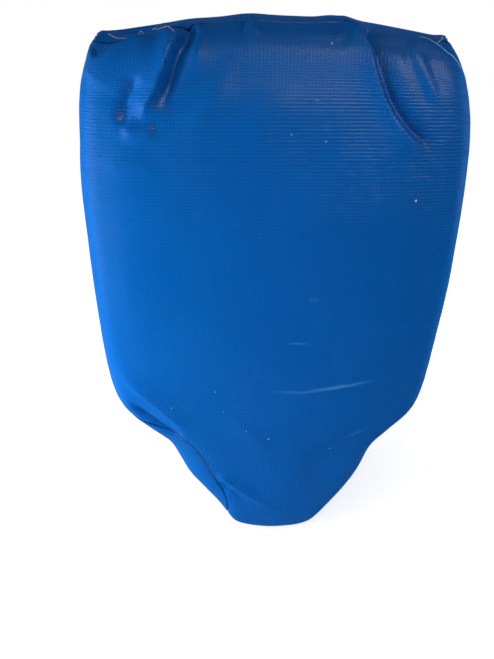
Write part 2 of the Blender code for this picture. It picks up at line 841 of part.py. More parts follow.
def add_vent(centre, word, panel, foam):
    """An eyelet clenched through the vinyl on a washer, with a pocket behind it."""
    outer = VENT_BORE + VENT_WALL
    washer_top = -VINYL - CLEARANCE
    clench_top = washer_top - WASHER - CLEARANCE
    eyelet = [
        (VENT_BORE + VENT_WALL / 2, CLEARANCE + VENT_CROWN),
        (VENT_FLANGE - VENT_CROWN, CLEARANCE + VENT_CROWN),
        (VENT_FLANGE, CLEARANCE),
        (outer, CLEARANCE),
        (outer, clench_top),
        (outer + VENT_CROWN, clench_top),
        (outer + VENT_CROWN, clench_top - CLENCH),
        (VENT_BORE, clench_top - CLENCH),
        (VENT_BORE, CLEARANCE + VENT_CROWN / 2),
    ]
    washer = [
        (WASHER_RADIUS, washer_top),
        (WASHER_RADIUS, washer_top - WASHER),
        (outer + CLEARANCE, washer_top - WASHER),
        (outer + CLEARANCE, washer_top),
    ]
    turned_ring(f"vent_eyelet_{word}", eyelet, centre, "brass")
    turned_ring(f"vent_washer_{word}", washer, centre, "brass")
    hole = (BACK_Y - 2 * VINYL, BACK_Y + VINYL)
    boolean(panel, add_post(f"vent_hole_{word}", outer + CLEARANCE, centre, hole))
    depth = CLENCH - clench_top + CLEARANCE
    pocket = (BACK_Y - depth, BACK_Y)
    boolean(foam, add_post(f"vent_pocket_{word}", WASHER_RADIUS + CLEARANCE, centre, pocket))


def add_cover(form):
    panels = {name: add_panel(index, form) for index, name in enumerate(PANELS)}
    half = ZIP_WINDOW / 2
    low = (-half, BACK_Y - 2 * VINYL, ZIP_BOTTOM_Z - CLEARANCE)
    high = (half, BACK_Y + VINYL, ZIP_TOP_Z + CLEARANCE)
    for name in ("back_panel_left", "back_panel_right"):
        boolean(panels[name], add_box(f"{name}_zip_window", low, high))
    return panels


def add_filling(form):
    """Three foam layers, glued in the real pad; the rear one clears the zip."""
    back_cut = FRONT_Y + STRIKE_FOAM + CORE_FOAM
    strike_cut = FRONT_Y + STRIKE_FOAM
    half_gap = CLEARANCE / 2
    add_foam("foam_strike_layer", form, (None, strike_cut - half_gap), "strike foam")
    core_range = (strike_cut + half_gap, back_cut - half_gap)
    add_foam("foam_core_layer", form, core_range, "core foam")
    rear = add_foam("foam_back_layer", form, (back_cut + half_gap, None), "back foam")
    half = CHAIN_WIDTH / 2 - TAPE_SEAT + TAPE_WIDTH + CLEARANCE
    slider_depth = CHAIN_THICKNESS / 2 + CLEARANCE + INNER_PLATE + CLEARANCE
    low = (-half, TAPE_Y - slider_depth, ZIP_BOTTOM_Z - CLEARANCE)
    high = (half, BACK_Y, ZIP_TOP_Z + CLEARANCE)
    boolean(rear, add_box("zip_groove", low, high))
    return rear


def build():
    form = stuffed_form()
    panels = add_cover(form)
    rear_foam = add_filling(form)
    for side, word in ((-1, "left"), (1, "right")):
        add_tape(side, f"zipper_tape_{word}")
        add_teeth(side, f"zipper_teeth_{word}")
        add_handle(side, f"handle_{word}")
        add_patch(side, 1, f"handle_patch_upper_{word}")
        add_patch(side, -1, f"handle_patch_lower_{word}")
        for level, (spacing, drop) in zip(("upper", "lower"), VENT_PAIRS):
            centre = (side * spacing, GRIP_DROP - drop)
            panel = panels[f"back_panel_{word}"]
            add_vent(centre, f"{level}_{word}", panel, rear_foam)
    add_stops()
    add_pull(add_slider())


clear_scene()
parts = add_collection("blocking_pad")
cutters = add_collection("cutters")
build()
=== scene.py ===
"""The looks of a hand-held blocking pad: stuffed vinyl cover, foam, webbing, zip and vents.

The pad's front faces -Y and its tip points down. The origin lies midway between the two
hand grips. All sizes are in metres.
"""

import math

import bmesh
import bpy
import numpy as np
from mathutils import Matrix, Vector, noise
from mathutils.bvhtree import BVHTree
from mathutils.kdtree import KDTree


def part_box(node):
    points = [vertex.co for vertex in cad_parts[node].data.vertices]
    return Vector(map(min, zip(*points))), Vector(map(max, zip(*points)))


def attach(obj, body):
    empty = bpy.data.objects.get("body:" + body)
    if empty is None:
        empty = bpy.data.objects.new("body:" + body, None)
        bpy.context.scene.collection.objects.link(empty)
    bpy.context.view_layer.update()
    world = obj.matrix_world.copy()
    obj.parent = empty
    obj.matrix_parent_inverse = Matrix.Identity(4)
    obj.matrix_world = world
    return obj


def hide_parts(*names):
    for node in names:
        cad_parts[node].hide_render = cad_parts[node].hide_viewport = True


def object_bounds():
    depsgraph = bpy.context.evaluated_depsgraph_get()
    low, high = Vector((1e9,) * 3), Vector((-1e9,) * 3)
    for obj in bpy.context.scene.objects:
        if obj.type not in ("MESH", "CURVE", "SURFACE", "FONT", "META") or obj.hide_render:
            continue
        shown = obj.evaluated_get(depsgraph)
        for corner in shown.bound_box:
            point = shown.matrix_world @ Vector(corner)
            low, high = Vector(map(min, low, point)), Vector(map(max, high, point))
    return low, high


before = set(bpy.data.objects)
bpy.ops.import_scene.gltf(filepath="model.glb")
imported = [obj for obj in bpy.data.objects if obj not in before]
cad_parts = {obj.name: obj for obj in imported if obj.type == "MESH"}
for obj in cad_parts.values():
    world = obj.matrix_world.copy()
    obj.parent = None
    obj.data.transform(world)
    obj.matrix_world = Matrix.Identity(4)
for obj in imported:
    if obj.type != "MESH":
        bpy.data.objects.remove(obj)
CAD_LOW, CAD_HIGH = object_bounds()

MM = 0.001

# Outline of the cover: drops below the top seam, and the full width at each
TOP_CORNER_DROP, TOP_WIDTH = 16 * MM, 284 * MM
CHEST_DROP, CHEST_WIDTH = 78 * MM, 340 * MM
WIDEST_DROP, PAD_WIDTH = 270 * MM, 356 * MM
HIP_DROP, HIP_WIDTH = 363 * MM, 354 * MM
TURN_DROP, TURN_WIDTH = 407 * MM, 257 * MM
NECK_DROP, NECK_WIDTH = 466 * MM, 221 * MM
TIP_CORNER_DROP, TIP_WIDTH = 562 * MM, 109 * MM
PAD_HEIGHT = 579 * MM
LEFT_EAR = 8 * MM
EAR_DROP = 32 * MM
EAR_REACH = 55 * MM
EAR_LIFT = 3.5 * MM
TOP_RISE = 2.5 * MM
TIP_LEAN = 11 * MM

# Thickness and edges of the stuffed cover
PAD_DEPTH = 127 * MM
FACE_CROWN = 8 * MM
FACE_EDGE_RADIUS = 24 * MM
BACK_EDGE_RADIUS = 12 * MM
SIDE_BULGE = 4 * MM
TOP_BULGE = 5.5 * MM
SEAM_ROLL = 61 * MM
ROLL_DROP = 455 * MM
ROLL_REACH = 95 * MM
ROLL_EVENNESS = 4
ROLL_BULGE = 0.08
SHOULDER_ROLL = 16 * MM
SHOULDER_REACH = 60 * MM
GRIP_DROP = 240 * MM
BACK_Y = -40 * MM
FRONT_Y = BACK_Y - PAD_DEPTH

# The cage of the stuffed form; its outermost cells go round the edges
COLUMNS = 10
ROWS = 14
LAYERS = 3
EDGE_CELLS = 2
CORNER_DEPTH = 5 * MM
CAGE_LEVELS = 3
PANELS = ("face_panel", "side_gusset", "top_gusset", "back_panel_left", "back_panel_right")
FACE, SIDE, TOP, BACK_LEFT, BACK_RIGHT = range(5)

# Vinyl sheet and its seams
VINYL = 0.8 * MM
SEAM_LIP = 1.3 * MM
SEAM_DIP = 0.9 * MM
SEAM_TRIM = 0.3 * MM
SCRIM_PITCH = 2.85 * MM

# How the cloth swells over its foam before its folds are laid: how far below its form it
# starts, the most that it lifts, the rounds that even it, and how far the seams calm it
SWELL_START = 2.5 * MM
SWELL_CAP = 2 * MM
SWELL_EVENING = 4
SEAM_CALM = 110 * MM
SWELL_FRAMES = 20

# Laminated vinyl as cloth, in the simulation's own units
VINYL_CLOTH = {
    "quality": 6,
    "mass": 0.2,
    "tension_stiffness": 12,
    "compression_stiffness": 12,
    "shear_stiffness": 6,
    "bending_stiffness": 1.5,
    "use_pressure": True,
    "uniform_pressure_force": 4,
}

# Vertices within the margin of the back's plane stay flat on its hardware, and those up to
# the fade before it move only in part
FLAT_MARGIN = 0.5 * MM
FLAT_FADE = 6 * MM

# Zip, vents and handles, as the solids have them
CLEARANCE = 0.3 * MM
ZIP_TOP_Z = 178 * MM
ZIP_BOTTOM_Z = -222 * MM
ZIP_WINDOW = 15 * MM
VENT_HOLE = 4.9 * MM
VENT_PLACES = tuple((side * x * MM, z * MM) for side in (-1, 1) for x, z in ((104, 177), (66, -202)))
HANDLE_SPACING = 150 * MM
HANDLE_LENGTH = 310 * MM
HANDLE_SEWN = 62 * MM
HANDLE_RAMP = 46 * MM
WEBBING_WIDTH = 50 * MM
WEBBING = 2.2 * MM
GRIP_WIDTH = 28 * MM
GRIP_THICKNESS = 5 * MM
PATCH_SIZE = 84 * MM
PATCH = 0.9 * MM
PATCH_CORNER = 10 * MM

# Sewing: length of a stitch, the gap to the next, and half the thread's thickness
STITCH = 3.2 * MM
STITCH_GAP = 0.9 * MM
THREAD = 0.35 * MM

# The photograph's frame in pixels, with its focal length
IMAGE_WIDTH, IMAGE_HEIGHT = 494, 659
FOCAL_PIXELS = 495
SENSOR_MM = 36

# Where the camera stood, before the front and below the pad's top, and how far it looked
# down and was rolled, in radians
CAMERA_X = -22.8 * MM
CAMERA_STANDOFF = 415 * MM
CAMERA_DROP = 5.1 * MM
CAMERA_PITCH = math.radians(31)
CAMERA_ROLL = 0.0051

# Faces that meet at more than this angle have a real edge between them
SHARP_ANGLE = math.radians(50)

SIDES = ((-1, "left"), (1, "right"))


# The stuffed form


def monotone_curve(points):
    """A smooth function through the points, which never overshoots them."""
    places, values = zip(*points)
    rises = [(v1 - v0) / (p1 - p0) for (p0, v0), (p1, v1) in zip(points, points[1:])]
    slopes = [rises[0]]
    for before, after in zip(rises, rises[1:]):
        turns = before * after <= 0
        slopes.append(0 if turns else 2 * before * after / (before + after))
    slopes.append(rises[-1])

    def value(place):
        n = max(k for k in range(len(rises)) if k == 0 or place >= places[k])
        span = places[n + 1] - places[n]
        t = (place - places[n]) / span
        leave = (1 + 2 * t) * values[n] + t * span * slopes[n]
        arrive = (3 - 2 * t) * values[n + 1] + (t - 1) * span * slopes[n + 1]
        return (1 - t) ** 2 * leave + t**2 * arrive

    return value


# Half the cover's width as a function of the drop below the top seam
half_width = monotone_curve((
    (TOP_CORNER_DROP, TOP_WIDTH / 2),
    (CHEST_DROP, CHEST_WIDTH / 2),
    (WIDEST_DROP, PAD_WIDTH / 2),
    (HIP_DROP, HIP_WIDTH / 2),
    (TURN_DROP, TURN_WIDTH / 2),
    (NECK_DROP, NECK_WIDTH / 2),
    (TIP_CORNER_DROP, TIP_WIDTH / 2),
))


def row_drops(radius):
    """Drops of the cage's rows at the flanks, closest where the outline turns."""
    ease = radius * (1 - math.cos(math.radians(45)))
    tip_row = TIP_CORNER_DROP - radius
    return (
        TOP_CORNER_DROP,
        TOP_CORNER_DROP + ease,
        TOP_CORNER_DROP + radius,
        CHEST_DROP,
        (CHEST_DROP + WIDEST_DROP) / 2,
        WIDEST_DROP,
        HIP_DROP,
        (HIP_DROP + TURN_DROP) / 2,
        TURN_DROP,
        (TURN_DROP + NECK_DROP) / 2,
        NECK_DROP,
        (NECK_DROP + tip_row) / 2,
        tip_row,
        TIP_CORNER_DROP - ease,
        TIP_CORNER_DROP,
    )


def round_edge(travel, radius):
    """Inset and depth of a point that has travelled round a quarter-round edge."""
    quarter = radius * math.pi / 2
    if travel >= quarter:
        return radius + travel - quarter, 0
    angle = travel / radius
    return radius * (1 - math.cos(angle)), radius * (1 - math.sin(angle))


def seam_roll(drop, column):
    """How far the cover has slid towards the front, at a drop on one flank."""
    shoulder = max(0, 1 - abs(drop - TOP_CORNER_DROP) / SHOULDER_REACH)
    if column > COLUMNS / 2:
        return SHOULDER_ROLL * shoulder
    return SEAM_ROLL * max(0, 1 - (abs(drop - ROLL_DROP) / ROLL_REACH) ** ROLL_EVENNESS)


def tip_lean(drop):
    """How far the pad leans to the right, from nothing at the hips to all at the tip."""
    t = min(1, max(0, (drop - HIP_DROP) / (PAD_HEIGHT - HIP_DROP)))
    return TIP_LEAN * (1 - (1 - t) ** 2)


def edge_travel(cells, radius):
    """Way round the edge, over the cage's first rows or columns."""
    return min(cells, EDGE_CELLS) / EDGE_CELLS * radius * math.pi / 2


def sheet_travel(column, radius, wide, slide):
    """Way from the sheet's rim round its edge and in to a column, and the way to the middle."""
    from_side = min(column, COLUMNS - column)
    whole = wide - radius + radius * math.pi / 2
    travel = edge_travel(from_side, radius)
    if from_side > EDGE_CELLS:
        travel += (wide - radius) * (from_side - EDGE_CELLS) / (COLUMNS / 2 - EDGE_CELLS)
    return travel + slide * (1 - travel / whole), whole


def sheet_point(column, row, radius, slide=0):
    """Place and depth of a point on the front or back sheet of the cage.

    The slide is how far the sheet's rim has been pulled round its edge.
    """
    drop = row_drops(radius)[row]
    wide = half_width(drop)
    from_end = min(row, ROWS - row)
    travel, _ = sheet_travel(column, radius, wide, slide)
    inset, depth = round_edge(travel, radius)
    depth = max(depth, round_edge(edge_travel(from_end, radius), radius)[1])
    side = -1 if column < COLUMNS / 2 else 1
    x = side * (wide - inset)
    across = min(1, abs(x) / wide)
    if row <= EDGE_CELLS:
        drop -= TOP_CORNER_DROP * (1 - across**2)
    if row >= ROWS - EDGE_CELLS:
        drop += (PAD_HEIGHT - TIP_CORNER_DROP) * (1 - across**2)
    leftness = max(0, 1 - 2 * column / COLUMNS)
    x -= LEFT_EAR * leftness * max(0, 1 - abs(drop - EAR_DROP) / EAR_REACH)
    if row == 0:
        drop -= TOP_RISE + EAR_LIFT * max(leftness**2, column // COLUMNS)
    return x + tip_lean(drop), drop, depth


def cage_point(column, layer, row):
    """World place of a cage vertex, counted from the left, the front and the top."""
    slide = seam_roll(row_drops(FACE_EDGE_RADIUS)[row], column)
    back = sheet_point(column, row, BACK_EDGE_RADIUS)
    if layer == 0:
        x, drop, depth = sheet_point(column, row, FACE_EDGE_RADIUS, slide)
        share = 1 - (2 * x / PAD_WIDTH) ** 2
        height = 1 - (2 * drop / PAD_HEIGHT - 1) ** 2
        y = FRONT_Y + depth + FACE_CROWN * (1 - max(0, share * height))
        return Vector((x, y, GRIP_DROP - drop))
    if layer == LAYERS:
        x, drop, depth = back
        return Vector((x, BACK_Y - depth, GRIP_DROP - drop))
    front = sheet_point(column, row, FACE_EDGE_RADIUS)
    t = layer / LAYERS
    x, drop = [a + (b - a) * t for a, b in zip(front[:2], back[:2])]
    front_y = FRONT_Y + front[2] + FACE_CROWN
    y = front_y + (BACK_Y - back[2] - front_y) * t
    if column in (0, COLUMNS):
        x += math.copysign(SIDE_BULGE, x)
        if layer == 1:
            share = slide / SEAM_ROLL
            y += (FRONT_Y + FACE_CROWN + CORNER_DEPTH - y) * share
            if column == 0:
                x *= 1 + 4 * ROLL_BULGE * share * (1 - share)
    if row == 0:
        drop -= TOP_BULGE
    if row == ROWS:
        drop += SIDE_BULGE
    return Vector((x, y, GRIP_DROP - drop))


def panel_of(normal, centre):
    """Which panel of the cover a face of the uncut cage belongs to."""
    if normal.y < -0.5:
        return FACE
    if normal.z > 0.5:
        return TOP
    if normal.y > 0.5:
        return BACK_LEFT if centre.x < 0 else BACK_RIGHT
    return SIDE


def sheet_cloth(column, row, radius, slide=0):
    """Where a point of the front or back sheet lies on its flat cloth."""
    drop = row_drops(radius)[row]
    wide = half_width(drop)
    quarter = radius * math.pi / 2
    from_end = min(row, ROWS - row)
    travel, whole = sheet_travel(column, radius, wide, slide)
    across = whole - travel
    corner_drop = TOP_CORNER_DROP if row < ROWS / 2 else TIP_CORNER_DROP
    flat_part = max(0, radius - abs(drop - corner_drop))
    unrolled = quarter - edge_travel(from_end, radius) - radius + flat_part
    down = drop - unrolled if row < ROWS / 2 else drop + unrolled
    bow = 1 - min(1, across / wide) ** 2
    if row <= EDGE_CELLS:
        down -= TOP_CORNER_DROP * bow
    if row >= ROWS - EDGE_CELLS:
        down += (PAD_HEIGHT - TIP_CORNER_DROP) * bow
    return (-across if column < COLUMNS / 2 else across), -down


def gusset_ring():
    """Way along the side strip at each cage point, down the left and up the right."""
    ring = [(0, row) for row in range(ROWS + 1)]
    ring += [(column, ROWS) for column in range(1, COLUMNS + 1)]
    ring += [(COLUMNS, row) for row in range(ROWS - 1, -1, -1)]
    ways = {ring[0]: 0.0}
    for before, after in zip(ring, ring[1:]):
        start, end = [cage_point(column, 1, row) for column, row in (before, after)]
        ways[after] = ways[before] + (end - start).length
    return ways


def lay_cloth(bm, grid):
    """Give each panel its place on the flat cloth, in metres, so that the scrim follows it."""
    cloth = bm.loops.layers.uv.new("cloth")
    ring = gusset_ring()
    for face in bm.faces:
        panel = face.material_index
        for loop in face.loops:
            column, layer, row = grid[loop.vert]
            if panel == FACE:
                slide = seam_roll(row_drops(FACE_EDGE_RADIUS)[row], column)
                place = sheet_cloth(column, row, FACE_EDGE_RADIUS, slide)
            elif panel in (BACK_LEFT, BACK_RIGHT):
                place = sheet_cloth(column, row, BACK_EDGE_RADIUS)
            elif panel == TOP:
                place = (loop.vert.co.x, loop.vert.co.y)
            else:
                place = (ring[column, row], loop.vert.co.y)
            loop[cloth].uv = place


def stuffed_form():
    """The closed surface of the cover in small quads, its faces marked by panel."""
    bm = bmesh.new()
    bmesh.ops.create_cube(bm, size=2)
    for axis, cells in enumerate((COLUMNS, LAYERS, ROWS)):
        normal = Vector((0, 0, 0))
        normal[axis] = 1
        for number in range(1, cells):
            whole = bm.verts[:] + bm.edges[:] + bm.faces[:]
            place = normal * (2 * number / cells - 1)
            bmesh.ops.bisect_plane(bm, geom=whole, plane_co=place, plane_no=normal)
    bm.normal_update()
    for face in bm.faces:
        face.material_index = panel_of(face.normal, face.calc_center_median())
    grid = {}
    for vert in bm.verts:
        column = round((vert.co.x + 1) * COLUMNS / 2)
        layer = round((vert.co.y + 1) * LAYERS / 2)
        row = round((1 - vert.co.z) * ROWS / 2)
        grid[vert] = (column, layer, row)
        vert.co = cage_point(column, layer, row)
    lay_cloth(bm, grid)
    return refined(mesh_from("stuffed form", bm), CAGE_LEVELS)


# Meshes and objects


def mesh_from(name, bm):
    """The mesh of a bmesh, which is freed."""
    mesh = bpy.data.meshes.new(name)
    bm.to_mesh(mesh)
    bm.free()
    return mesh


def add_object(name, data):
    """An object in the scene, made of a mesh, a bmesh, a curve, a lamp or a camera."""
    if isinstance(data, bmesh.types.BMesh):
        data = mesh_from(name, data)
    item = bpy.data.objects.new(name, data)
    bpy.context.scene.collection.objects.link(item)
    return item


def evaluated_mesh(item):
    """A new mesh of the object as its modifiers leave it."""
    bpy.context.view_layer.update()
    depsgraph = bpy.context.evaluated_depsgraph_get()
    return bpy.data.meshes.new_from_object(item.evaluated_get(depsgraph))


def refined(mesh, levels):
    """The mesh under a subdivision surface, as a new mesh."""
    item = add_object("refining", mesh)
    rounding = item.modifiers.new("rounding", "SUBSURF")
    rounding.levels = levels
    rounding.render_levels = levels
    fine = evaluated_mesh(item)
    bpy.data.objects.remove(item)
    return fine


def vertex_values(mesh, name):
    """The coordinates or the normals of a mesh's vertices, as an array."""
    values = np.empty(len(mesh.vertices) * 3, np.float32)
    mesh.vertices.foreach_get(name, values)
    return values.reshape(-1, 3).astype(float)


def move_points(mesh, points):
    """Put a mesh's vertices at new places."""
    mesh.vertices.foreach_set("co", points.astype(np.float32).ravel())
    mesh.update()


def panels_at(mesh):
    """For each vertex, the panels that meet there."""
    panels = [set() for _ in mesh.vertices]
    for face in mesh.polygons:
        for corner in face.vertices:
            panels[corner].add(face.material_index)
    return panels


def seam_marks(mesh):
    """For each vertex, whether it lies on a seam between two panels."""
    return np.array([len(panels) > 1 for panels in panels_at(mesh)])


def point_tree(points):
    """A tree that finds the nearest of the points."""
    tree = KDTree(len(points))
    for n, point in enumerate(points):
        tree.insert(point, n)
    tree.balance()
    return tree


def steps(low, high, values):
    """Nothing below low, one above high, and a smooth rise between."""
    t = np.clip((values - low) / (high - low), 0, 1)
    return t * t * (3 - 2 * t)


def falloff(gaps, reach):
    """One where there is no gap, and almost nothing at twice the reach."""
    return np.exp(-((gaps / reach) ** 2))


def finish_piece(item, body, slot, material, *nodes):
    """Give a piece its material and its body, and hide what it replaces. The slot is not used."""
    item.data.materials.clear()
    item.data.materials.append(material)
    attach(item, body)
    if nodes:
        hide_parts(*nodes)


# Swelling the cloth over the foam


def swell(mesh):
    """Let the cloth swell between its sewn seams and its flat back, up to a cap."""
    rest = vertex_values(mesh, "co")
    normals = vertex_values(mesh, "normal")
    held = seam_marks(mesh) | (rest[:, 1] > BACK_Y - FLAT_MARGIN)
    start = rest - normals * SWELL_START * (~held)[:, None]
    cover = add_object("swelling", mesh)
    move_points(mesh, start)
    group = cover.vertex_groups.new(name="sewn")
    group.add(np.flatnonzero(held).tolist(), 1.0, "REPLACE")
    cloth = cover.modifiers.new("cloth", "CLOTH")
    for name, value in VINYL_CLOTH.items():
        setattr(cloth.settings, name, value)
    cloth.settings.vertex_group_mass = group.name
    cloth.settings.effector_weights.gravity = 0
    scene = bpy.context.scene
    cloth.point_cache.frame_start = 1
    cloth.point_cache.frame_end = SWELL_FRAMES
    for number in range(1, SWELL_FRAMES + 1):
        scene.frame_set(number)
    swollen = vertex_values(evaluated_mesh(cover), "co")
    scene.frame_set(1)
    bpy.data.objects.remove(cover)
    lift = ((swollen - rest) * normals).sum(axis=1)
    lift = evened(mesh, np.clip(lift, -SWELL_CAP, SWELL_CAP), SWELL_EVENING)
    tree = point_tree(rest[held])
    calm = steps(0, SEAM_CALM, np.array([tree.find(point)[2] for point in rest]))
    move_points(mesh, rest + normals * (lift * calm)[:, None])


def evened(mesh, values, rounds):
    """Values on the vertices, each drawn towards the mean of its neighbours a few times."""
    ends = np.empty(len(mesh.edges) * 2, np.int32)
    mesh.edges.foreach_get("vertices", ends)
    first, second = ends[::2], ends[1::2]
    count = np.bincount(ends, minlength=len(values))
    for _ in range(rounds):
        sums = np.bincount(first, values[second], len(values))
        sums += np.bincount(second, values[first], len(values))
        values = (values + sums / count) / 2
    return values


# Folds, creases and puckers


def smooth_line(points, per_span=10):
    """A smooth line through the points, as an array, by Catmull and Rom's spline."""
    knots = np.array(points, float)
    ends = np.vstack([2 * knots[0] - knots[1], knots, 2 * knots[-1] - knots[-2]])
    line = []
    for p0, p1, p2, p3 in zip(ends, ends[1:], ends[2:], ends[3:]):
        for t in np.arange(per_span) / per_span:
            line.append(
                0.5 * (2 * p1 + (p2 - p0) * t + (2 * p0 - 5 * p1 + 4 * p2 - p3) * t**2
                       + (3 * p1 - p0 - 3 * p2 + p3) * t**3)
            )
    line.append(knots[-1])
    return np.array(line)


def beside_line(flat, line):
    """Distance to the right of a line that runs down, and the share of its length."""
    reach = np.full(len(flat), np.inf)
    beside = np.zeros(len(flat))
    along = np.zeros(len(flat))
    steps_along = np.concatenate([[0], np.cumsum(np.linalg.norm(np.diff(line, axis=0), axis=1))])
    for n, (start, end) in enumerate(zip(line, line[1:])):
        way = end - start
        length = np.linalg.norm(way)
        offset = flat - start
        t = np.clip(offset @ way / length**2, 0, 1)
        gap = np.linalg.norm(offset - t[:, None] * way, axis=1)
        nearer = gap < reach
        sign = np.sign(way[0] * offset[:, 1] - way[1] * offset[:, 0])
        reach[nearer] = gap[nearer]
        beside[nearer] = (gap * sign)[nearer]
        along[nearer] = (steps_along[n] + t * length)[nearer]
    return beside, along / steps_along[-1]


# The routes of the right crease and of its foot, in millimetres across and above the grips
CREASE = (
    (60, 238), (69, 226), (74, 212), (79, 201), (85, 190), (94, 178), (106, 166), (119, 157),
    (130, 145),
)
CREASE_FOOT = (
    (64, 238), (73, 226), (79, 212), (84, 201), (90, 190), (99, 178), (111, 166), (124, 156),
    (135, 144),
)

# Folds of the front: points in millimetres across and above the grips, height, width to
# the left and right of the line, the shares of its length over which it fades in and out,
# and how round its crest is, from 1 for a sharp edge to 2 for a soft one
FRONT_FOLDS = (
    (
        "pleat", ((-73, 237), (-81, 224), (-86, 214), (-91, 203), (-96, 193), (-103, 183), (-110, 174)),
        7.2, 11, 4.4, 0.15, 0.2, 1,
    ),
    (
        "pleat's hollow", ((-66, 240), (-74, 226), (-79, 214), (-83, 203), (-88, 193), (-95, 181)),
        -6.2, 5, 7, 0.05, 0.35, 1.8,
    ),
    ("pleat's neighbour", ((-61, 240), (-61, 230), (-63, 218), (-69, 204)), 2, 4, 8, 0.05, 0.5, 1.6),
    ("hollow behind it", ((-106, 208), (-114, 195), (-120, 182), (-125, 169)), -4, 5, 5, 0.3, 0.25, 1.8),
    ("pleat's foot", ((-126, 168), (-112, 165), (-95, 170)), 2.6, 6, 6, 0.3, 0.3, 2),
    ("swelling under it", ((-152, 142), (-132, 141), (-114, 141), (-92, 137)), 1.4, 7, 5, 0.35, 0.35, 2),
    (
        "ear's edge", ((-150, 199), (-143, 211), (-130, 219), (-112, 227), (-92, 232)),
        4.4, 11, 3.4, 0.15, 0.25, 1,
    ),
    ("ear's hollow", ((-146, 219), (-133, 228), (-112, 236), (-92, 241)), -3.8, 4, 6, 0.1, 0.3, 2),
    ("drape", ((-30, 214), (-54, 185), (-81, 154)), 1.5, 9, 9, 0.35, 0.4, 2),
    ("second drape", ((20, 202), (-7, 180), (-36, 156)), 1.1, 11, 11, 0.4, 0.4, 2),
    ("crease", CREASE, 3, 9, 1.6, 0.03, 0.25, 1.1),
    ("crease's line", [(x + 2, z) for x, z in CREASE], -2.8, 1.6, 1.8, 0.02, 0.3, 1.3),
    ("crease's foot", CREASE_FOOT, -2.2, 2.4, 8, 0.03, 0.3, 1.8),
    ("second hollow", ((94, 233), (99, 217), (114, 192), (127, 177)), -1, 4, 4, 0.1, 0.4, 2),
    ("second roll", ((101, 231), (107, 219), (123, 194), (135, 179)), 1, 4, 5, 0.1, 0.4, 2),
    ("third hollow", ((110, 226), (122, 204), (133, 189)), -1, 4, 5, 0.1, 0.4, 2),
    ("seam's flap", ((46, 243), (58, 239), (68, 233)), 2.2, 3, 5, 0.3, 0.2, 2),
    (
        "hip ridge", ((-159, -62), (-147, -86), (-122, -113), (-98, -140), (-86, -158)),
        4, 5, 15, 0.3, 0.3, 1.7,
    ),
    ("hip hollow", ((-152, -112), (-137, -129), (-117, -147), (-94, -164)), -5.4, 4, 6, 0.25, 0.2, 1.6),
    ("hip swelling", ((-164, -100), (-150, -127), (-132, -148), (-112, -163)), 3.6, 16, 5, 0.4, 0.4, 2),
    ("tip ridge", ((-60, -218), (-48, -228), (-16, -258), (24, -292)), 3.6, 4, 9, 0.15, 0.4, 1.4),
    ("tip hollow", ((-56, -233), (-40, -252), (-18, -278)), -2.4, 8, 6, 0.15, 0.5, 2),
    ("tip pinch", ((-46, -250), (-38, -258), (-30, -270)), 1.4, 2.6, 2.6, 0.1, 0.4, 1.5),
    ("lower drape", ((-50, -119), (-13, -158), (26, -202)), 1.4, 8, 8, 0.35, 0.4, 2),
    ("long crease", ((-9, -90), (23, -91), (60, -86), (91, -78), (121, -69)), 2, 4, 2, 0.25, 0.35, 1.2),
    ("flank crease", ((86, -160), (102, -151), (118, -142)), 1.6, 3, 2.6, 0.35, 0.4, 1.6),
    ("lower crease", ((84, -197), (97, -202), (110, -205)), 0.8, 3, 3, 0.4, 0.5, 2),
    ("seam pinch", ((-19, 243), (-18, 237), (-19, 229)), 1.8, 2, 2, 0.05, 0.6, 2),
    ("seam pinch's twin", ((-27, 243), (-28, 237), (-27, 231)), -1.6, 2, 2, 0.05, 0.6, 2),
)

# Pulls on the cover's corners and flanks, in millimetres: place, move and reach
CORNER_PULLS = (
    ((-140, -118, 237), (0.5, 0, 2.5), 11),
    ((-150, -118, 234), (4, 0, 1), 9),
    ((-94, -120, 241), (0, 0, -2.2), 16),
    ((76, -122, 240), (0, 0, -3.4), 13),
    ((98, -120, 240), (0, 0, -3), 13),
    ((141, -120, 229), (-7.5, 0, 0), 15),
    ((138, -118, 234), (0, 0, 0.6), 9),
    ((118, -118, 240), (0, 0, -3), 12),
    ((-178, -122, 168), (3.2, 0, 0), 32),
    ((-119, -150, -164), (-4, 0, -1), 15),
    ((-76, -143, -226), (-3.4, 0, 0), 18),
    ((132, -153, -164), (3, 0, -1), 20),
    ((170, -130, 30), (1.5, 0, 0), 60),
)

# Swellings of the top strip, in millimetres: place across and in depth, height and reach
TOP_SWELLINGS = (
    (-24, -120, 2.8, 20),
    (44, -122, 3.4, 15),
    (68, -120, 2, 14),
    (-70, -124, 1.6, 24),
)

# How deep behind the front its folds reach, and how far round each line they are laid
FOLDED_DEPTH = 60 * MM
FOLD_MARGIN = 30 * MM

# Limits on a normal's y for cloth that is folded and cloth that is cut finer, and on its z
# for cloth of the top
FOLDED_FACING = 0.35
FINE_FACING = -0.3
TOP_FACING = 0.3

# The slow unevenness of the cloth, and the puckers that run across its seams
UNDULATION = 0.5 * MM
UNDULATION_SIZE = 55 * MM
PUCKER = 0.5 * MM
PUCKER_PITCH = 21 * MM
PUCKER_REACH = 13 * MM
PUCKER_START = 2 * MM
FACE_PUCKER_SHARE = 0.35

# Boxes in which the front's cloth is finer, for its sharp folds: low and high, in millimetres
FINE_CLOTH = (((-148, 160), (-56, 244)), ((50, 160), (128, 244)))


